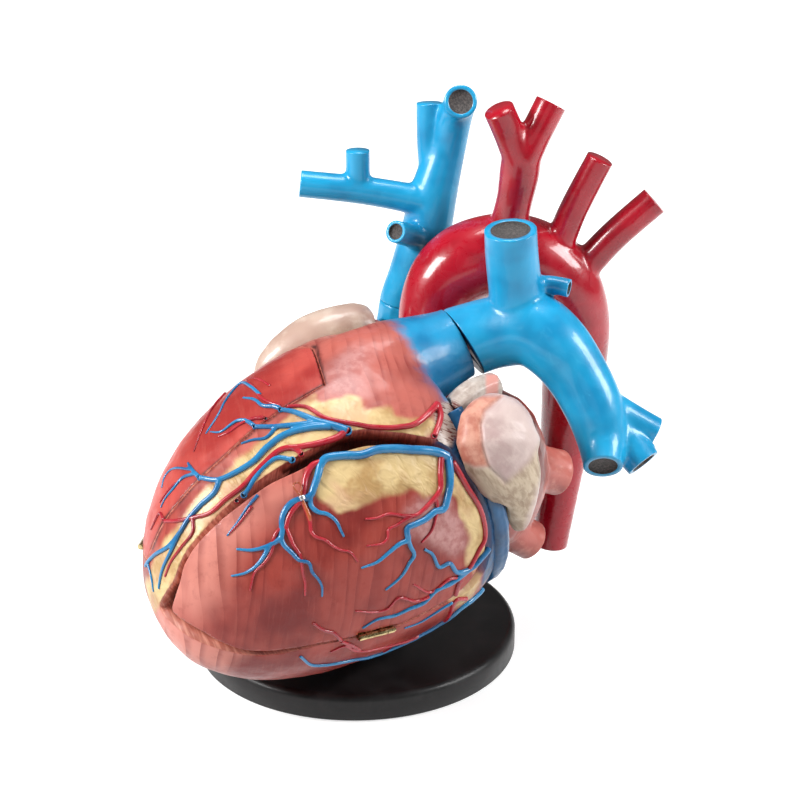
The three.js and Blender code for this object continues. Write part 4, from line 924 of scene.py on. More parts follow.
crimp_bar = straight_bar("crimp", crimp_middle - crimp_way, crimp_middle + crimp_way, CRIMP_RADIUS,
                         sides=END_SIDES)
loop_crimp = remeshed("loop_crimp", [crimp_bar], LOOP_VOXEL, CRIMP_SMOOTHING)
vein_ends = cut_ends("coronary_vein_ends", VEIN_ENDS)
artery_ends = cut_ends("coronary_artery_ends", ARTERY_ENDS)


# Great vessels

PEG_RADIUS = 4.3
PEG_REACH = 9.3
SEAM_BLOCK = 45.0
FIT = 0.3
PULMONARY_SLIDE = unit(np.array([0.93, 0.0, 0.37]))
AORTA_SLIDE = unit(np.array([0.3, 0.0, 0.954]))
CAVA_SLIDE = np.array([0.0, 0.0, 1.0])
END_OVERSHOOT = 3.5
END_SAMPLES = 40
FACE_OVERLAP = 1.12
END_MARGIN = 0.6
BORE_BEYOND = 2
BRANCH_SIDES = 40
VESSEL_VOXEL = 1.2
VESSEL_SMOOTHING = 28


def end_direction(rows):
    path = catmull_rom(np.array(rows, float), END_SAMPLES)
    return unit(path[-1][:3] - path[-3][:3])


def end_cutters(rows):
    """A cutter that ends a vessel square and one that bores it."""
    last, radius = np.array(rows[-1][:3], float), rows[-1][3]
    direction = end_direction(rows)
    face = straight_bar("end_face", last, last + direction * 2 * END_OVERSHOOT,
                        radius * FACE_OVERLAP + END_MARGIN)
    clear = radius * (1 - WALL_SHARE) - LEAST_WALL
    bore = straight_bar("bore", last - direction * LUMEN_DEPTH, last + direction * BORE_BEYOND,
                        clear - END_MARGIN, LUMEN_FACE, end_radius=clear + END_MARGIN)
    return [face, bore]


def overshot(rows):
    """The path carried straight on past its last point."""
    last, radius = np.array(rows[-1][:3], float), rows[-1][3]
    return list(rows) + [(*(last + end_direction(rows) * END_OVERSHOOT), radius)]


def vessel(name, inner, closed, opened, cutters):
    """Branches in one skin: inner ones run into others, closed ones end square, opened ones show a bore."""
    pieces = [tube("branch", rows, sides=BRANCH_SIDES) for rows in inner]
    pieces += [tube("branch", overshot(rows), sides=BRANCH_SIDES) for rows in closed + opened]
    whole = remeshed(name, pieces, VESSEL_VOXEL, VESSEL_SMOOTHING)
    for rows in closed + opened:
        face, bore = end_cutters(rows)
        cut(whole, face)
        if rows in opened:
            cut(whole, bore)
        else:
            drop(bore)
    return cut(whole, *cutters)


def peg_socket(through, direction):
    return straight_bar("socket", through - direction * PEG_REACH, through + direction * PEG_REACH,
                        PEG_RADIUS, LUMEN_FACE)


def seam_block(seam, direction):
    direction = unit(direction)
    start = seam + direction * FIT
    return straight_bar("seam_block", start, start - direction * SEAM_BLOCK, SEAM_BLOCK, CUT_FACE)


seam_side = unit(np.cross(TRUNK_DIRECTION, [0, 0, 1]))
seam_top = TRUNK_SEAM + np.cross(seam_side, TRUNK_DIRECTION) * TRUNK_RADIUS
tilt = Matrix.Rotation(SEAM_GAP_ANGLE, 3, Vector(seam_side))
tilted_start = np.array(tilt @ Vector(TRUNK_DIRECTION))
cut(heart_body, peg_socket(TRUNK_SEAM, PULMONARY_SLIDE))
pulmonary = vessel(
    "pulmonary_artery_tree", [], [],
    [PULMONARY_PATH, PULMONARY_LIMB, PULMONARY_SIDE, PULMONARY_BACK, PULMONARY_TWIG],
    [half_space("pulmonary_seam", seam_top + TRUNK_DIRECTION * FIT, -tilted_start),
     peg_socket(TRUNK_SEAM, PULMONARY_SLIDE)],
)
aorta = vessel(
    "aorta_arch", [BRACHIOCEPHALIC],
    [BRACHIOCEPHALIC_LEFT, BRACHIOCEPHALIC_RIGHT, LEFT_CAROTID, LEFT_SUBCLAVIAN], [AORTA_PATH],
    [seam_block(AORTA_SEAM, AORTA_SEAM_DIRECTION), peg_socket(AORTA_SEAM, AORTA_SLIDE)],
)
vena_cava = vessel(
    "vena_cava_tree", [], [CAVA_LEFT, CAVA_SIDE, CAVA_SIDE_STUB], [CAVA_PATH, CAVA_FRONT_STUB],
    [seam_block(CAVA_SEAM, CAVA_SEAM_DIRECTION), peg_socket(CAVA_SEAM, CAVA_SLIDE)],
)


# Pieces smoothed from the solids, and the turned base

BASE_RADIUS = 110.0
BASE_HEIGHT = 18.0
BASE_EDGE = 5.0
BASE_SIDES = 192
BASE_CHAMFER = 1
EDGE_STEPS = 9
LUMP_SEED = 3
FINE_SEED = 7
FINE_HEIGHT = 0.4
FINE_DIVISOR = 2.5
TWIN_SINK = 0.6


def smoothed(name, node, voxel, smoothing, lumps, lump_size, branches=(), open_branches=()):
    """A finer, rounder and slightly uneven twin of a solid, with branches that may end square."""
    source = frame["nodes"][node]
    solid = make_mesh(name, points_of(source), [tuple(face.vertices) for face in source.data.polygons])
    weld(solid)
    tubes = [tube("branch", overshot(rows) if rows in open_branches else rows, sides=BRANCH_SIDES)
             for rows in branches]
    piece = remeshed(name, [solid, *tubes], voxel, smoothing)
    rough = lumpy(points_of(piece), [(1, lump_size, LUMP_SEED),
                                     (FINE_HEIGHT, lump_size / FINE_DIVISOR, FINE_SEED)])
    push_out(piece, rough * lumps - TWIN_SINK * lumps)
    for rows in open_branches:
        cut(piece, *end_cutters(rows))
    return piece


def turned_piece(name, profile):
    """A closed round piece from a profile of radius and height, from the bottom centre to the top centre."""
    turns = np.arange(BASE_SIDES) * 2 * math.pi / BASE_SIDES
    rings = [[np.array([r * math.cos(a), r * math.sin(a), z]) for a in turns] for r, z in profile[1:-1]]
    ends = [np.array([0, 0, height]) for height in (profile[0][1], profile[-1][1])]
    return make_mesh(name, *closed_skin(rings, *ends))


def rounded(radius, bottom, top, edge):
    """The profile of a disc with its upper edge rounded and a small lower edge."""
    arc = [(radius - edge + edge * math.sin(a), top - edge + edge * math.cos(a))
           for a in np.linspace(math.pi / 2, 0, EDGE_STEPS)]
    return [(0, bottom), (radius - BASE_CHAMFER, bottom), (radius, bottom + BASE_CHAMFER), *arc, (0, top)]


base = turned_piece("base_plinth", rounded(BASE_RADIUS, 0, BASE_HEIGHT, BASE_EDGE))
# Name, node, voxel, smoothing, height and size of the lumps
TWINS = [
    ("aortic_root_wall", "aortic_root", 1.2, 8, 0.3, 12),
    ("right_auricle_lobe", "right_auricle", 1.2, 60, 0.5, 22),
    ("right_atrium_wall", "right_atrium", 1.5, 40, 1.2, 14),
    ("vena_cava_root", "cava_stub", 1.0, 8, 0.2, 12),
    ("inferior_cava_wall", "inferior_vena_cava", 1.2, 8, 0.3, 14),
    ("left_auricle_lobe", "left_auricle", 1.0, 60, 0.5, 16),
    ("auricle_collar_wall", "auricle_collar", 0.9, 10, 0.3, 14),
    ("left_atrium_wall", "left_atrium", 1.3, 12, 0.6, 16),
    ("coronary_sinus_band", "coronary_sinus", 1.0, 5, 0.5, 10),
    ("front_papillary", "front_papillary_muscle", 0.8, 5, 0.4, 6),
    ("back_papillary", "back_papillary_muscle", 0.8, 5, 0.4, 6),
]
UPPER_VEIN = [(104, 12, 134, 20), (122, 23, 122, 14.5), (139, 34, 113, 16.8)]
LOWER_VEIN = [(88, 6, 96, 19), (104, 12, 81, 13), (121, 21, 67, 14.4)]
COLLAR_LINING = [(50, -64, 166, 9), (56, -62, 178, 10), (62, -54, 190, 9)]
SINUS_ANGLES = range(10, -111, -12)
SINUS_DROP = 7
SINUS_INSET = 1.5
SINUS_RADIUS = 6.5
SINUS_LINING = [(*heart_point(BASE_PLANE - SINUS_DROP, angle, SINUS_INSET), SINUS_RADIUS)
                for angle in SINUS_ANGLES]
TWIN_BRANCHES = {
    "left_atrium": ([UPPER_VEIN, LOWER_VEIN], [UPPER_VEIN, LOWER_VEIN]),
    "auricle_collar": ([COLLAR_LINING], []),
    "coronary_sinus": ([SINUS_LINING], []),
}
twins = {node: smoothed(name, node, voxel, smoothing, lumps, size, *TWIN_BRANCHES.get(node, ((), ())))
         for name, node, voxel, smoothing, lumps, size in TWINS}


# Painted places, as picture coordinates

DOOR_FAT = [
    (306, 452), (345, 443), (400, 440), (440, 444), (460, 462), (482, 500), (490, 545), (476, 572),
    (468, 560), (470, 535), (460, 508), (446, 492), (434, 499), (410, 490), (384, 493), (360, 507),
    (338, 510), (320, 500), (311, 478),
]
DOOR_MAUVE = [(418, 498), (447, 496), (463, 520), (469, 545), (455, 556), (430, 543), (408, 532), (405, 512)]
BODY_FAT = [
    (156, 612), (146, 585), (150, 566), (166, 538), (190, 508), (222, 474), (252, 446), (284, 422),
    (300, 402), (316, 397), (352, 402), (389, 409), (411, 415), (434, 412), (442, 432), (420, 440),
    (380, 436), (345, 440), (312, 448), (275, 470), (240, 494), (205, 527), (184, 560), (170, 590),
]
# Painted sheen: a pale patch on the outflow tract where the light glances off it
CONUS_PAINTED_SHEEN = [(318, 392), (328, 372), (342, 354), (362, 344), (374, 352), (362, 376), (368, 394), (340, 396)]
SINUS_BAND = [
    (434, 434), (440, 430), (452, 434), (472, 460), (490, 488), (503, 520), (508, 552), (502, 580),
    (488, 600), (480, 590), (486, 560), (478, 524), (466, 490), (454, 462), (438, 445),
]
UNDER_DOOR_FAT = [(478, 556), (484, 580), (470, 598), (452, 606), (446, 590), (462, 574)]
AURICLE_BAND = [
    (450, 440), (457, 412), (470, 402), (482, 396), (502, 396), (485, 411), (481, 425), (483, 446),
    (489, 466), (475, 467), (460, 461), (450, 448),
]
AURICLE_TIP = [
    (454, 455), (475, 467), (489, 467), (505, 483), (528, 464), (542, 440), (548, 460), (534, 500),
    (523, 532), (503, 532), (488, 500),
]
AURICLE_CREASE = [(501, 397), (486, 410), (481, 425), (483, 446), (489, 466), (505, 482)]
# Painted shade: a dark line along the right door's seam, where the gap lies in shade
SEAM_SHADE_LINE = [(313, 347), (316, 347), (325, 384), (289, 405), (256, 429), (200, 478), (164, 520), (152, 548)]
COLLAR_STRANDS = [(434, 404), (456, 400), (464, 410), (452, 446), (436, 446)]
COLLAR_TAB = [(486, 374), (499, 374), (498, 397), (486, 395)]
RIM_PINK = [(150, 598), (172, 606), (205, 636), (250, 652), (225, 672), (180, 660), (155, 632)]
# Painted light: the left door's upper left side, painted lighter pink where the light falls on it
DOOR_PAINTED_LIGHT = [(160, 600), (172, 560), (202, 526), (238, 500), (270, 482), (300, 476), (296, 500), (258, 528),
             (236, 556), (222, 596), (196, 620)]
# Softness of each painted edge and width of each line, in picture pixels
SOFTNESS = {"fat": 9, "mauve": 9, "cream": 12, "pink": 24, "rim": 10, "sinus": 2.5, "wedge": 3, "grey": 2.5,
            "band": 3, "tip": 5, "strands": 4, "tab": 2}
SEAM_SHADE_WIDTH = 1.9
CREASE_WIDTH = 2.2
CREASE_DEPTH = 1.3
# How far painted edges wander, in millimetres, or degrees for the strip on the far side
FAT_WANDER = 4
GROOVE_WANDER = 5
STRIP_WANDER = 3
BLUE_WANDER = 2
WANDER_SIZE = 11
WANDER_SEED = 6
# Cosines of the view angle between which a place turns from unseen to seen
FACING = (-0.05, 0.15)
# Where shares run from none to full: along the axis or the trunk and up, in millimetres, or round the axis,
# in degrees. The shares of the whole that they reach follow.
APEX_PINK = (-60, -150)
BASE_GROOVE = (20, 38)
FAR_GROOVE_ANGLE = 208
FAR_GROOVE_HALF = (16, 6)
FAR_GROOVE_END = (-150, -110)
TRACT_PINK = (160, 185)
TRUNK_BLUE = (-47, -25)
TRUNK_BLUE_HEIGHT = (150, 165)
APEX_PINK_SHARE = 0.5
TRACT_PINK_SHARE = 0.35
FAR_FAT_SHARE = 0.9
SHEEN_SHARE = 0.8


def line_distances(points, corners):
    """The picture places of points, and how far each lies from a line through the corners, in pixels."""
    places = np.stack(picture_places(points), axis=1)
    nearest = np.full(len(places), np.inf)
    for a, b in zip(corners, corners[1:]):
        span = b - a
        share = np.clip((places - a) @ span / (span @ span), 0, 1)
        nearest = np.minimum(nearest, np.linalg.norm(places - a - share[:, None] * span, axis=1))
    return places, nearest


def polygon_share(points, outline, softness):
    """How far inside a picture outline each point is seen, from 0 to 1."""
    corners = np.array(outline + outline[:1], float)
    places, nearest = line_distances(points, corners)
    inside = np.zeros(len(places), bool)
    for a, b in zip(corners, corners[1:]):
        crosses = (a[1] > places[:, 1]) != (b[1] > places[:, 1])
        with np.errstate(divide="ignore", invalid="ignore"):
            reach = (b[0] - a[0]) * (places[:, 1] - a[1]) / (b[1] - a[1]) + a[0]
        inside ^= crosses & (places[:, 0] < reach)
    return smoothstep(-softness, softness, np.where(inside, nearest, -nearest))


def line_share(points, line, width):
    """How near each point is seen to a picture line, from 0 to 1, width in pixels."""
    return np.exp(-(line_distances(points, np.array(line, float))[1] / width) ** 2)


def facing_view(piece, points):
    towards = VIEW_POINT - points
    towards /= np.linalg.norm(towards, axis=1)[:, None]
    return smoothstep(*FACING, np.sum(normals_of(piece) * towards, axis=1))


def crease(piece, line, depth, width):
    """Presses a shallow groove in along a picture line."""
    points = points_of(piece)
    push_out(piece, -line_share(points, line, width) * facing_view(piece, points) * depth)


def paint_muscle(piece, fat_patches, mauve_patches, redness):
    """The places of fat, mauve, pink and the like on a muscle wall, among them painted light on the door's
    lit side, a painted sheen on the outflow tract and a painted shade line along the right seam. Shares run
    from 0 to 1.
    """
    points = points_of(piece)
    along, angle, _ = heart_places(points)
    front = facing_view(piece, points)
    rough = ripple(points, WANDER_SIZE, WANDER_SEED)

    def patch(outline, kind, wander=0):
        return polygon_share(points + rough[:, None] * wander, outline, SOFTNESS[kind]) * front

    places = {
        "fat": [patch(outline, "fat", FAT_WANDER) for outline in fat_patches],
        "mauve": [patch(outline, "mauve") for outline in mauve_patches],
        # The pink share also holds the painted light on the door's lit left side
        "pink": [smoothstep(*APEX_PINK, along) * APEX_PINK_SHARE * (1 - front), patch(DOOR_PAINTED_LIGHT, "pink")],
        "red": [np.full(len(points), redness)],
    }
    if piece is heart_body:
        groove = smoothstep(*BASE_GROOVE, along + GROOVE_WANDER * rough)
        off_strip = np.abs((angle - FAR_GROOVE_ANGLE + 180) % 360 - 180)
        behind = smoothstep(*FAR_GROOVE_HALF, off_strip + STRIP_WANDER * rough)
        behind *= smoothstep(*FAR_GROOVE_END, along)
        places["fat"] += [share * (1 - front) * FAR_FAT_SHARE for share in (groove, behind)]
        # The mauve share also carries the painted sheen on the outflow tract
        places["mauve"].append(patch(CONUS_PAINTED_SHEEN, "cream") * SHEEN_SHARE)
        places["pink"] += [polygon_share(points, RIM_PINK, SOFTNESS["rim"]),
                           smoothstep(*TRACT_PINK, points[:, 2]) * front * TRACT_PINK_SHARE]
        trunk = (points - TRUNK_SEAM) @ TRUNK_DIRECTION + rough * BLUE_WANDER
        places["blue"] = [smoothstep(*TRUNK_BLUE, trunk) * smoothstep(*TRUNK_BLUE_HEIGHT, points[:, 2])]
        places["deep"] = [patch(SINUS_BAND, "sinus")]
        places["wedge"] = [patch(UNDER_DOOR_FAT, "wedge")]
        places["grey"] = [patch(COLLAR_STRANDS, "grey")]
    # The seam share is painted shade along the right door's gap
    if piece is not left_door:
        places["seam"] = [line_share(points, SEAM_SHADE_LINE, SEAM_SHADE_WIDTH) * front]
    for name, shares in places.items():
        paint(piece, name, np.maximum.reduce([np.zeros(len(points)), *shares]))


paint_muscle(heart_body, [BODY_FAT, UNDER_DOOR_FAT], [], redness=0.25)
paint_muscle(left_door, [DOOR_FAT], [DOOR_MAUVE], redness=0.2)
paint_muscle(right_door, [], [], redness=0.6)

auricle, collar = twins["left_auricle"], twins["auricle_collar"]
crease(auricle, AURICLE_CREASE, CREASE_DEPTH, CREASE_WIDTH)
front = facing_view(auricle, points_of(auricle))
for piece, name, outline, seen in (
    (auricle, "band", AURICLE_BAND, front), (auricle, "tip", AURICLE_TIP, front),
    (collar, "strands", COLLAR_STRANDS, 1), (collar, "tab", COLLAR_TAB, 1),
):
    paint(piece, name, polygon_share(points_of(piece), outline, SOFTNESS[name]) * seen)


# Materials. Colours are screen values from 0 to 255.

OBLIQUE = [0.3, 0.5, 0.81]
# Where the painted light on the ledge near the apex fades out to the right, in metres
LEDGE_PAINTED_LIGHT = (-0.085, -0.05)


def srgb(red, green, blue):
    """The linear colour of screen values, by the standard screen curve."""
    parts = [value / 255 for value in (red, green, blue)]
    return (*(part / 12.92 if part <= 0.04045 else ((part + 0.055) / 1.055) ** 2.4 for part in parts), 1.0)


def put(tree, value, socket):
    if isinstance(value, bpy.types.NodeSocket):
        tree.links.new(value, socket)
    else:
        socket.default_value = value


def add_node(tree, kind, inputs=(), **settings):
    """A shader node with its settings, and with its inputs set or linked."""
    made = tree.nodes.new("ShaderNode" + kind)
    for name, value in settings.items():
        setattr(made, name, value)
    for socket, value in dict(inputs).items():
        put(tree, value, made.inputs[socket])
    return made


class Paint:
    """A procedural material while its nodes are put together. Sizes are in millimetres."""

    def __init__(self, name, metallic=0.0, coat=0.0, coat_roughness=0.08, specular=0.5):
        self.material = bpy.data.materials.new(name)
        self.material.use_nodes = True
        self.tree = self.material.node_tree
        self.shader = self.tree.nodes["Principled BSDF"]
        for socket, value in (("Metallic", metallic), ("Specular IOR Level", specular),
                              ("Coat Weight", coat), ("Coat Roughness", coat_roughness)):
            self.shader.inputs[socket].default_value = value
        self.place = self.node("TexCoord").outputs["Object"]

    def node(self, kind, inputs=(), **settings):
        return add_node(self.tree, kind, inputs, **settings)

    def noise(self, size, detail=3.0, roughness=0.55, distortion=0.0, place=None):
        inputs = {"Vector": place or self.place, "Scale": 1 / (size * MM), "Detail": detail,
                  "Roughness": roughness, "Distortion": distortion}
        return self.node("TexNoise", inputs).outputs["Fac"]

    def stretched(self, direction, size, long_size):
        """Coordinates for a pattern that is fine along one direction and drawn out across it."""
        direction = unit(np.array(direction))
        side = unit(np.cross(direction, OBLIQUE))
        joined = self.node("CombineXYZ")
        ways = ((direction, size), (side, long_size), (np.cross(direction, side), long_size))
        for socket, (way, reach) in zip(joined.inputs, ways):
            factors = tuple(way / (reach * MM))
            product = self.node("VectorMath", {0: self.place, 1: factors}, operation="DOT_PRODUCT")
            self.tree.links.new(product.outputs["Value"], socket)
        return joined.outputs[0]

    def fibres(self, direction, size, long_size, detail=3, roughness=0.6, distortion=0.0):
        place = self.stretched(direction, size, long_size)
        return self.noise(1 / MM, detail, roughness, distortion, place)

    def terraces(self, direction, size, long_size):
        """Saw-toothed steps along a direction that wander a little."""
        inputs = {"Vector": self.stretched(direction, size, long_size), "Scale": math.pi / 10,
                  "Distortion": 15.0, "Detail": 2.0, "Detail Scale": 0.6}
        return self.node("TexWave", inputs, wave_profile="SAW").outputs["Fac"]

    def attribute(self, name):
        return self.node("Attribute", attribute_name=name).outputs["Fac"]

    def math(self, operation, first, second):
        return self.node("Math", {0: first, 1: second}, operation=operation).outputs[0]

    def times(self, first, second):
        return self.math("MULTIPLY", first, second)

    def spread(self, value, low, high, start=0.0, end=1.0):
        """value between low and high, eased onto start to end."""
        inputs = {"Value": value, "From Min": low, "From Max": high, "To Min": start, "To Max": end}
        return self.node("MapRange", inputs, interpolation_type="SMOOTHSTEP").outputs["Result"]

    def blend(self, share, first, second):
        first, second = (srgb(*colour) if isinstance(colour, tuple) else colour for colour in (first, second))
        return self.node("Mix", {"Factor": share, 6: first, 7: second}, data_type="RGBA").outputs[2]

    def tones(self, value, low, high, first, second):
        """The first colour where value is low, eased into the second where it is high."""
        return self.blend(self.spread(value, low, high), first, second)

    def layered(self, colour, *layers):
        """A colour with others laid over it in turn, each as thick as its share."""
        for share, layer in layers:
            colour = self.blend(share, colour, layer)
        return colour

    def bump(self, height, depth, strength):
        """Adds relief that is depth millimetres high."""
        step = self.node("Bump", {"Strength": strength, "Distance": depth * MM, "Height": height})
        normal = self.shader.inputs["Normal"]
        if normal.is_linked:
            self.tree.links.new(normal.links[0].from_socket, step.inputs["Normal"])
        self.tree.links.new(step.outputs["Normal"], normal)

    def finish(self, colour, pattern, smooth, rough, *bumps):
        """Sets the colour, a roughness that follows a pattern, and relief as height, depth and strength."""
        put(self.tree, colour, self.shader.inputs["Base Color"])
        put(self.tree, self.spread(pattern, 0.3, 0.7, smooth, rough), self.shader.inputs["Roughness"])
        for height, depth, strength in bumps:
            self.bump(height, depth, strength)
        return self.material


def muscle_material():
    """Terraced fibres with painted shade at the foot of each step, and the places of fat, mauve, blue,
    painted light, painted sheen and painted seam shade that the piece's attributes hold.
    """
    job = Paint("painted_muscle", coat=0.16, coat_roughness=0.12, specular=0.28)
    grain = (1.0, 0.18, -0.1)
    terrace = job.terraces(grain, 8.5, 30)
    fine = job.fibres(grain, 2.0, 22, distortion=0.3)
    strands = job.fibres((0.4, 0.3, 0.86), 1.5, 9, distortion=0.8)
    wrinkle = job.fibres((0.7, 0.1, 0.7), 6, 12, detail=2, roughness=0.5, distortion=0.6)
    broad = job.noise(45, 2)
    mottle = job.noise(7, 4, 0.6)
    red, blue, fat = (job.attribute(name) for name in ("red", "blue", "fat"))
    deep = job.blend(red, (98, 26, 22), (172, 50, 46))
    plain = job.blend(red, (144, 58, 47), (200, 82, 74))
    banded = job.math("SUBTRACT", 1.0, job.math("MAXIMUM", job.math("MAXIMUM", red, blue), fat))
    # Painted shade: darker at the foot of each terrace step, beside the step's bump
    step = job.times(job.times(job.spread(terrace, 0.0, 0.5, 1.0, 0.0), banded),
                     job.spread(job.noise(28, 2), 0.35, 0.65, 0.15, 0.75))
    pink = job.times(job.attribute("pink"), job.spread(broad, 0.2, 0.6, 0.5, 1.0))
    fat_colour = job.layered(
        job.tones(job.noise(19, 3), 0.36, 0.6, (176, 142, 92), (212, 186, 134)),
        (job.spread(job.noise(24, 2), 0.5, 0.7, 0, 0.5), (204, 158, 132)),
        (job.spread(mottle, 0.55, 0.8, 0, 0.3), (150, 118, 72)),
    )
    fat_edge = job.math("ADD", fat, job.spread(job.noise(16, 3), 0.3, 0.7, -0.14, 0.14))
    blue_edge = job.math("ADD", blue, job.spread(mottle, 0.3, 0.7, -0.1, 0.1))
    colour = job.layered(
        job.tones(broad, 0.36, 0.6, deep, plain),
        # pink paint, and the painted light on the door's lit left side
        (job.times(pink, 0.9), (208, 133, 119)),
        (job.spread(fine, 0.5, 0.8, 0, 0.2), (190, 100, 86)),
        (job.spread(mottle, 0.52, 0.8, 0, 0.35), deep),
        (step, deep),
        # mauve paint, and the painted sheen on the outflow tract
        (job.times(job.attribute("mauve"), 0.8),
         job.tones(mottle, 0.35, 0.65, (170, 112, 108), (200, 152, 148))),
        (job.spread(fat_edge, 0.2, 0.8, 0, 0.96), fat_colour),
        (job.spread(blue_edge, 0.1, 0.9), job.tones(broad, 0.35, 0.65, (8, 104, 152), (30, 142, 188))),
        (job.attribute("deep"), job.tones(mottle, 0.35, 0.65, (10, 44, 78), (24, 80, 122))),
        (job.attribute("grey"), job.tones(strands, 0.5, 0.58, (168, 152, 142), (98, 34, 30))),
        # Painted shade: the dark line in the right door's seam
        (job.times(job.attribute("seam"), 0.95), (44, 12, 12)),
    )
    return job.finish(colour, mottle, 0.34, 0.5, (fine, 0.16, 0.4), (job.times(terrace, banded), 0.6, 0.5),
                      (job.noise(9, 2), 0.9, 0.5), (job.times(wrinkle, fat), 2.6, 0.7))


def cut_material():
    """The wall's cut faces, toothed on the ledge near the apex and lighter there with painted light, and dark
    blue at the trunk's seam as painted shade.
    """
    job = Paint("cut_wall", coat=0.15, coat_roughness=0.3)
    along = job.fibres(LONG_AXIS, 1.6, 16, distortion=0.4)
    teeth = job.fibres((1.0, 0.2, 0.5), 2.2, 26, detail=2, roughness=0.5)
    mottle = job.noise(9, 4)
    across = job.node("SeparateXYZ", {0: job.place}).outputs["X"]
    colour = job.layered(
        job.tones(along, 0.35, 0.65, (134, 58, 46), (176, 92, 76)),
        (job.spread(mottle, 0.5, 0.75, 0, 0.5), (190, 116, 98)),
        # Painted light: the ledge near the apex, toothed, and lighter than the rest of the cut wall
        (job.spread(across, *LEDGE_PAINTED_LIGHT, 0.75, 0.0),
         job.tones(teeth, 0.4, 0.6, (186, 108, 90), (224, 154, 132))),
        (job.attribute("wedge"), (200, 166, 122)),
        # Painted shade: the cut faces at the trunk's seam, dark blue
        (job.attribute("blue"), (10, 70, 110)),
        (job.attribute("deep"), (14, 58, 98)),
    )
    return job.finish(colour, mottle, 0.42, 0.6, (along, 0.6, 0.8), (mottle, 0.7, 0.5))


def auricle_material():
    """The left auricle: a salmon band, a pale face and a beige tip."""
    job = Paint("painted_auricle", coat=0.1, coat_roughness=0.2, specular=0.35)
    mottle = job.noise(9, 4, 0.6)
    strokes = job.fibres((0.5, 0.2, -0.8), 16, 4, roughness=0.55, distortion=0.3)
    colour = job.layered(
        job.tones(job.noise(34, 3, 0.5, 0.5), 0.36, 0.6, (178, 152, 148), (202, 182, 176)),
        (job.spread(mottle, 0.45, 0.75, 0, 0.5), (214, 196, 188)),
        (job.attribute("tip"), job.tones(strokes, 0.35, 0.65, (160, 138, 116), (196, 178, 154))),
        (job.attribute("band"), job.tones(mottle, 0.35, 0.65, (176, 108, 90), (200, 146, 126))),
    )
    return job.finish(colour, mottle, 0.42, 0.58, (strokes, 0.7, 0.5), (mottle, 0.7, 0.5))


def collar_material():
    """The grey collar, with dark red strands on its lower part."""
    job = Paint("grey_collar", coat=0.2, coat_roughness=0.2)
    mottle = job.noise(5, 4, 0.6)
    strands = job.fibres((0.4, 0.3, 0.86), 1.5, 9, distortion=0.8)
    colour = job.layered(
        job.tones(mottle, 0.3, 0.7, (158, 142, 132), (188, 176, 166)),
        (job.times(job.attribute("strands"), job.spread(strands, 0.5, 0.56)), (104, 32, 28)),
        (job.attribute("tab"), (204, 140, 128)),
    )
    return job.finish(colour, mottle, 0.45, 0.65, (mottle, 0.3, 0.5), (strands, 0.4, 0.5))


def lumen_material():
    job = Paint("dark_lumen")
    grain = job.noise(1.3, 3, 0.7)
    colour = job.tones(grain, 0.35, 0.7, (52, 50, 50), (98, 92, 90))
    return job.finish(colour, grain, 0.7, 0.95, (grain, 0.8, 0.8))


def gloss_material(name, main, deep, light, coat, roughness, depth=0.5):
    """Brushed gloss paint: a main colour, its deep tone and a worn, lighter tone."""
    job = Paint(name, coat=coat, coat_roughness=0.07, specular=0.35)
    strokes = job.noise(9, 4, 0.6, 0.8)
    colour = job.layered(job.tones(job.noise(30, 2), 0.25, 0.6, deep, main),
                         (job.spread(strokes, 0.55, 0.85, 0, 0.3), light))
    return job.finish(colour, strokes, roughness - 0.06, roughness + 0.1, (strokes, depth, 0.35),
                      (job.noise(2.2, 2), 0.12, 0.3))


def wall_material(name, main, deep, light, size, depth=0.9):
    """Softly mottled painted wall, such as an auricle or an atrium."""
    job = Paint(name, coat=0.3, coat_roughness=0.15)
    mottle = job.noise(size, 4, 0.6)
    colour = job.layered(job.tones(job.noise(size * 3.5, 2, 0.5, 0.5), 0.36, 0.62, deep, main),
                         (job.spread(mottle, 0.48, 0.74, 0, 0.75), light))
    return job.finish(colour, mottle, 0.3, 0.5, (mottle, depth, 0.55), (job.noise(size / 5, 3), 0.2, 0.4))


def metal_material(name, clean, worn, roughness):
    job = Paint(name, metallic=1.0)
    brushed = job.fibres((0.0, 0.0, 1.0), 0.25, 6)
    colour = job.tones(job.noise(3, 4), 0.42, 0.7, clean, worn)
    return job.finish(colour, brushed, roughness - 0.08, roughness + 0.12, (brushed, 0.05, 0.5))


def black_material():
    """Satin black with a little dust."""
    job = Paint("satin_black", coat=0.05, coat_roughness=0.2, specular=0.3)
    dust = job.noise(26, 5, 0.65)
    colour = job.blend(job.spread(dust, 0.42, 0.78, 0, 0.7), (19, 18, 19), (46, 45, 46))
    return job.finish(colour, dust, 0.34, 0.5, (job.noise(0.9, 3, 0.65), 0.06, 0.5))


MUSCLE = muscle_material()
CUT = cut_material()
LUMEN = lumen_material()
BLUE = gloss_material("vein_gloss", (26, 154, 202), (10, 128, 176), (70, 184, 220), 0.3, 0.34)
RED = gloss_material("artery_gloss", (168, 8, 32), (140, 4, 24), (188, 24, 46), 0.5, 0.28)
THIN_BLUE = gloss_material("thin_vein_gloss", (34, 122, 172), (18, 84, 136), (84, 158, 192), 0.5, 0.3, 0.3)
THIN_RED = gloss_material("thin_artery_gloss", (172, 34, 48), (132, 18, 32), (196, 78, 82), 0.5, 0.3, 0.3)
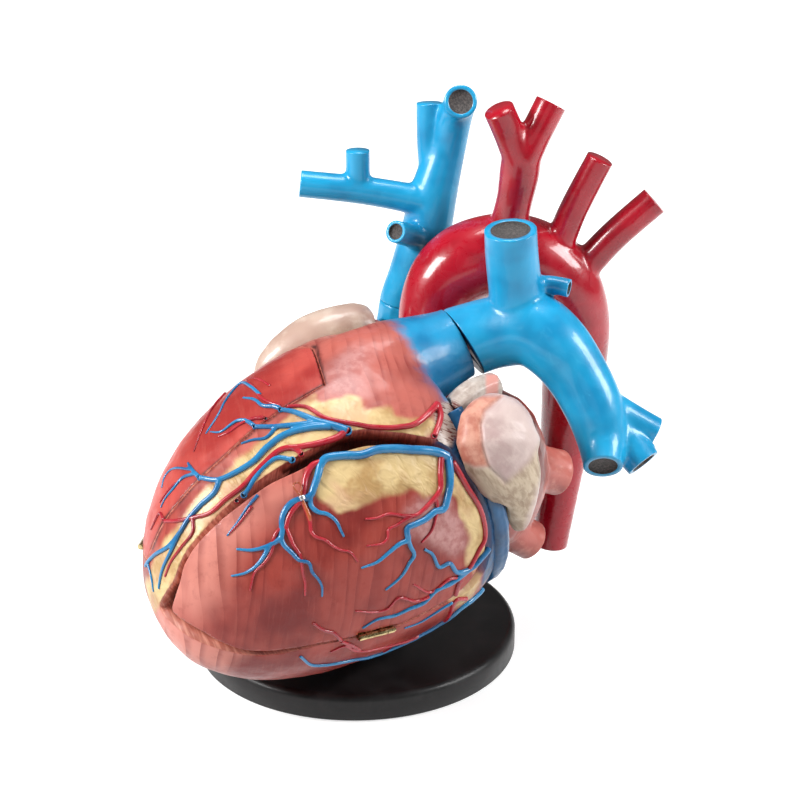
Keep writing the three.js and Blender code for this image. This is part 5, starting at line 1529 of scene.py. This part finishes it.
# Painted shade: the vessels' blue, darkened on their seam faces where the seam lies in shade
SEAM_SHADE_BLUE = gloss_material("blue_with_seam_shade", (12, 70, 110), (6, 44, 76), (22, 90, 130), 0.1, 0.5)
END_DARK = gloss_material("vessel_end_dark", (24, 30, 40), (16, 16, 22), (40, 48, 58), 0.2, 0.5)
DEEP_BLUE = gloss_material("deep_vein_gloss", (20, 82, 126), (10, 54, 92), (44, 112, 150), 0.4, 0.34)
CORD_PAINT = gloss_material("loop_paint", (176, 84, 40), (116, 44, 28), (214, 142, 80), 0.5, 0.3, 0.2)
AURICLE = auricle_material()
COLLAR = collar_material()
CREAM = wall_material("cream_auricle", (196, 172, 156), (170, 138, 124), (208, 190, 174), 15)
SALMON = wall_material("salmon_atrium", (192, 104, 92), (156, 72, 64), (212, 142, 128), 12)
LEAFLET = wall_material("valve_leaflet", (228, 206, 176), (206, 172, 146), (240, 224, 200), 5, 0.3)
PAPILLARY = wall_material("papillary_muscle", (172, 76, 66), (140, 50, 44), (196, 112, 98), 5, 0.4)
BLACK = black_material()
BRASS = metal_material("hinge_brass", (206, 186, 138), (140, 116, 72), 0.2)
STEEL = metal_material("screw_steel", (198, 198, 200), (150, 150, 152), 0.32)


def dress(piece, *materials):
    """Puts materials in the piece's slots without renumbering its faces."""
    give_slots(piece, len(materials))
    for place in range(len(piece.data.materials)):
        piece.data.materials[place] = materials[min(place, len(materials) - 1)]


for piece in (heart_body, left_door, right_door):
    dress(piece, MUSCLE, CUT, LUMEN)
# The blue vessels' seam faces take the blue with painted seam shade; the aorta's stay red
for piece, material, seam in ((pulmonary, BLUE, SEAM_SHADE_BLUE), (vena_cava, BLUE, SEAM_SHADE_BLUE), (aorta, RED, RED)):
    dress(piece, material, seam, LUMEN)
for name, piece in coronaries.items():
    dress(piece, THIN_BLUE if "veins" in name else THIN_RED)
dress(vein_ends, THIN_BLUE, CUT, END_DARK)
dress(artery_ends, THIN_RED, CUT, END_DARK)
dress(pull_loop, CORD_PAINT)
dress(loop_crimp, STEEL)
dress(base, BLACK)
for node, material in (
    ("aortic_root", RED), ("right_auricle", CREAM), ("right_atrium", SALMON), ("cava_stub", BLUE),
    ("inferior_vena_cava", BLUE), ("left_auricle", AURICLE), ("auricle_collar", COLLAR),
    ("left_atrium", SALMON), ("coronary_sinus", DEEP_BLUE), ("front_papillary_muscle", PAPILLARY),
    ("back_papillary_muscle", PAPILLARY),
):
    dress(twins[node], material, CUT, LUMEN)
NODE_FINISH = {"hinge": BRASS, "valve": LEAFLET, "post": BLACK, "support": BLACK, "peg": STEEL,
               "screw": STEEL}
for name, piece in frame["nodes"].items():
    for word, material in NODE_FINISH.items():
        if word in name:
            for slot in piece.material_slots:
                slot.material = material
            break

# Bodies, with a slot listed but not applied for each piece, and the solids that the pieces stand for

STAND = "stand_and_heart"
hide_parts("base_disc")
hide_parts("heart_body", "pulmonary_trunk")
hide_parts("left_ventricle_door")
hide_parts("right_ventricle_door")
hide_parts("pulmonary_arteries")
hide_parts("aorta")
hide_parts("superior_vena_cava")
RIDES = {
    STAND: [(base, "base_black"), (heart_body, "muscle_paint"), (vein_ends, "vein_blue"),
            (artery_ends, "artery_red")],
    "left_door": [(left_door, "muscle_paint"), (pull_loop, "valve_cream"), (loop_crimp, "collar_grey")],
    "right_door": [(right_door, "muscle_paint")],
    "pulmonary_vessels": [(pulmonary, "vein_blue")],
    "aorta_vessel": [(aorta, "artery_red")],
    "cava_vessel": [(vena_cava, "vein_blue")],
}
for name, piece in coronaries.items():
    owner = name.split("_coronary")[0]
    slot = "vein_blue" if "veins" in name else "artery_red"
    RIDES[owner if owner in RIDES else STAND].append((piece, slot))
drop(skin)
slots = {part["node"]: part["material_slot"] for part in frame["record"]["subparts"]}
for node, piece in twins.items():
    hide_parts(node)
    RIDES[STAND].append((piece, slots[node]))
for body, pieces in RIDES.items():
    for piece, slot in pieces:
        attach(piece, body)


# Floor, light and camera

FLOOR_SIZE = 6000.0
FLOOR_DROP = 0.5
FLOOR_GLOW = 0.62
GLOW_NEAR = 0.3
GLOW_FAR = 1.2
FLOOR_COLOUR = 0.6
FLOOR_GRAIN = 0.02
GRAIN_SCALE = 6
AMBIENT = 0.16
LENS = 90
SENSOR_WIDTH = 36
# Name, place in millimetres, size in metres and power in watts
LIGHTS = [
    ("left_light", (-1250, -500, 1000), 0.6, 34.0),
    ("right_light", (1400, -250, 900), 0.6, 22.0),
    ("front_light", (200, -1900, 900), 0.9, 1.6),
    ("top_light", (100, 200, 1800), 0.6, 15.0),
]


def floor_material():
    """A pale floor that looks white to the camera and in reflections, and keeps its shadow."""
    material = bpy.data.materials.new("floor")
    material.use_nodes = True
    tree = material.node_tree
    tree.nodes.clear()
    place = add_node(tree, "TexCoord").outputs["Object"]
    grain = add_node(tree, "TexNoise", {"Vector": place, "Scale": GRAIN_SCALE}).outputs["Fac"]
    tones = [(level, level, level, 1) for level in (FLOOR_COLOUR, FLOOR_COLOUR + FLOOR_GRAIN)]
    tint = add_node(tree, "Mix", {"Factor": grain, 6: tones[0], 7: tones[1]}, data_type="RGBA").outputs[2]
    matt = add_node(tree, "BsdfDiffuse", {"Color": tint}).outputs[0]
    rays = add_node(tree, "LightPath").outputs
    seen = add_node(tree, "Math", {0: rays["Is Camera Ray"], 1: rays["Is Glossy Ray"]}, operation="MAXIMUM")
    reach = add_node(tree, "VectorMath", {0: place}, operation="LENGTH").outputs["Value"]
    fade = {"Value": reach, "From Min": GLOW_NEAR, "From Max": GLOW_FAR, "To Min": FLOOR_GLOW}
    glow = add_node(tree, "MapRange", fade, interpolation_type="SMOOTHSTEP").outputs["Result"]
    level = add_node(tree, "Math", {0: seen.outputs[0], 1: glow}, operation="MULTIPLY").outputs[0]
    lit = add_node(tree, "Emission", {"Strength": level}).outputs[0]
    both = add_node(tree, "AddShader", {0: matt, 1: lit}).outputs[0]
    add_node(tree, "OutputMaterial", {"Surface": both})
    return material


FLOOR_CORNERS = [(-1, -1), (1, -1), (1, 1), (-1, 1)]
corners = [(x * FLOOR_SIZE / 2, y * FLOOR_SIZE / 2, -FLOOR_DROP) for x, y in FLOOR_CORNERS]
floor = make_mesh("floor", corners, [(0, 1, 2, 3)])
dress(floor, floor_material())

scene = bpy.context.scene
world = bpy.data.worlds.new("studio")
scene.world = world
world.use_nodes = True
tree = world.node_tree
rays = add_node(tree, "LightPath").outputs
strength = add_node(tree, "MapRange", {"Value": rays["Is Camera Ray"], "To Min": AMBIENT, "To Max": 1.0})
put(tree, (1, 1, 1, 1), tree.nodes["Background"].inputs["Color"])
put(tree, strength.outputs["Result"], tree.nodes["Background"].inputs["Strength"])

for name, place, size, power in LIGHTS:
    data = bpy.data.lights.new(name, "AREA")
    data.size = size
    data.energy = power
    light = bpy.data.objects.new(name, data)
    light.location = Vector(place) * MM
    light.rotation_euler = (Vector(HEART_CENTRE * MM) - light.location).to_track_quat("-Z", "Y").to_euler()
    scene.collection.objects.link(light)

camera_data = bpy.data.cameras.new("view")
camera_data.lens = LENS
camera_data.sensor_width = SENSOR_WIDTH
camera = bpy.data.objects.new("view", camera_data)
camera.location = VIEW_POINT * MM
camera.rotation_euler = (math.pi / 2 - VIEW_PITCH, 0, 0)
scene.collection.objects.link(camera)
bpy.context.scene.camera = camera
scene.view_settings.view_transform = "Standard"
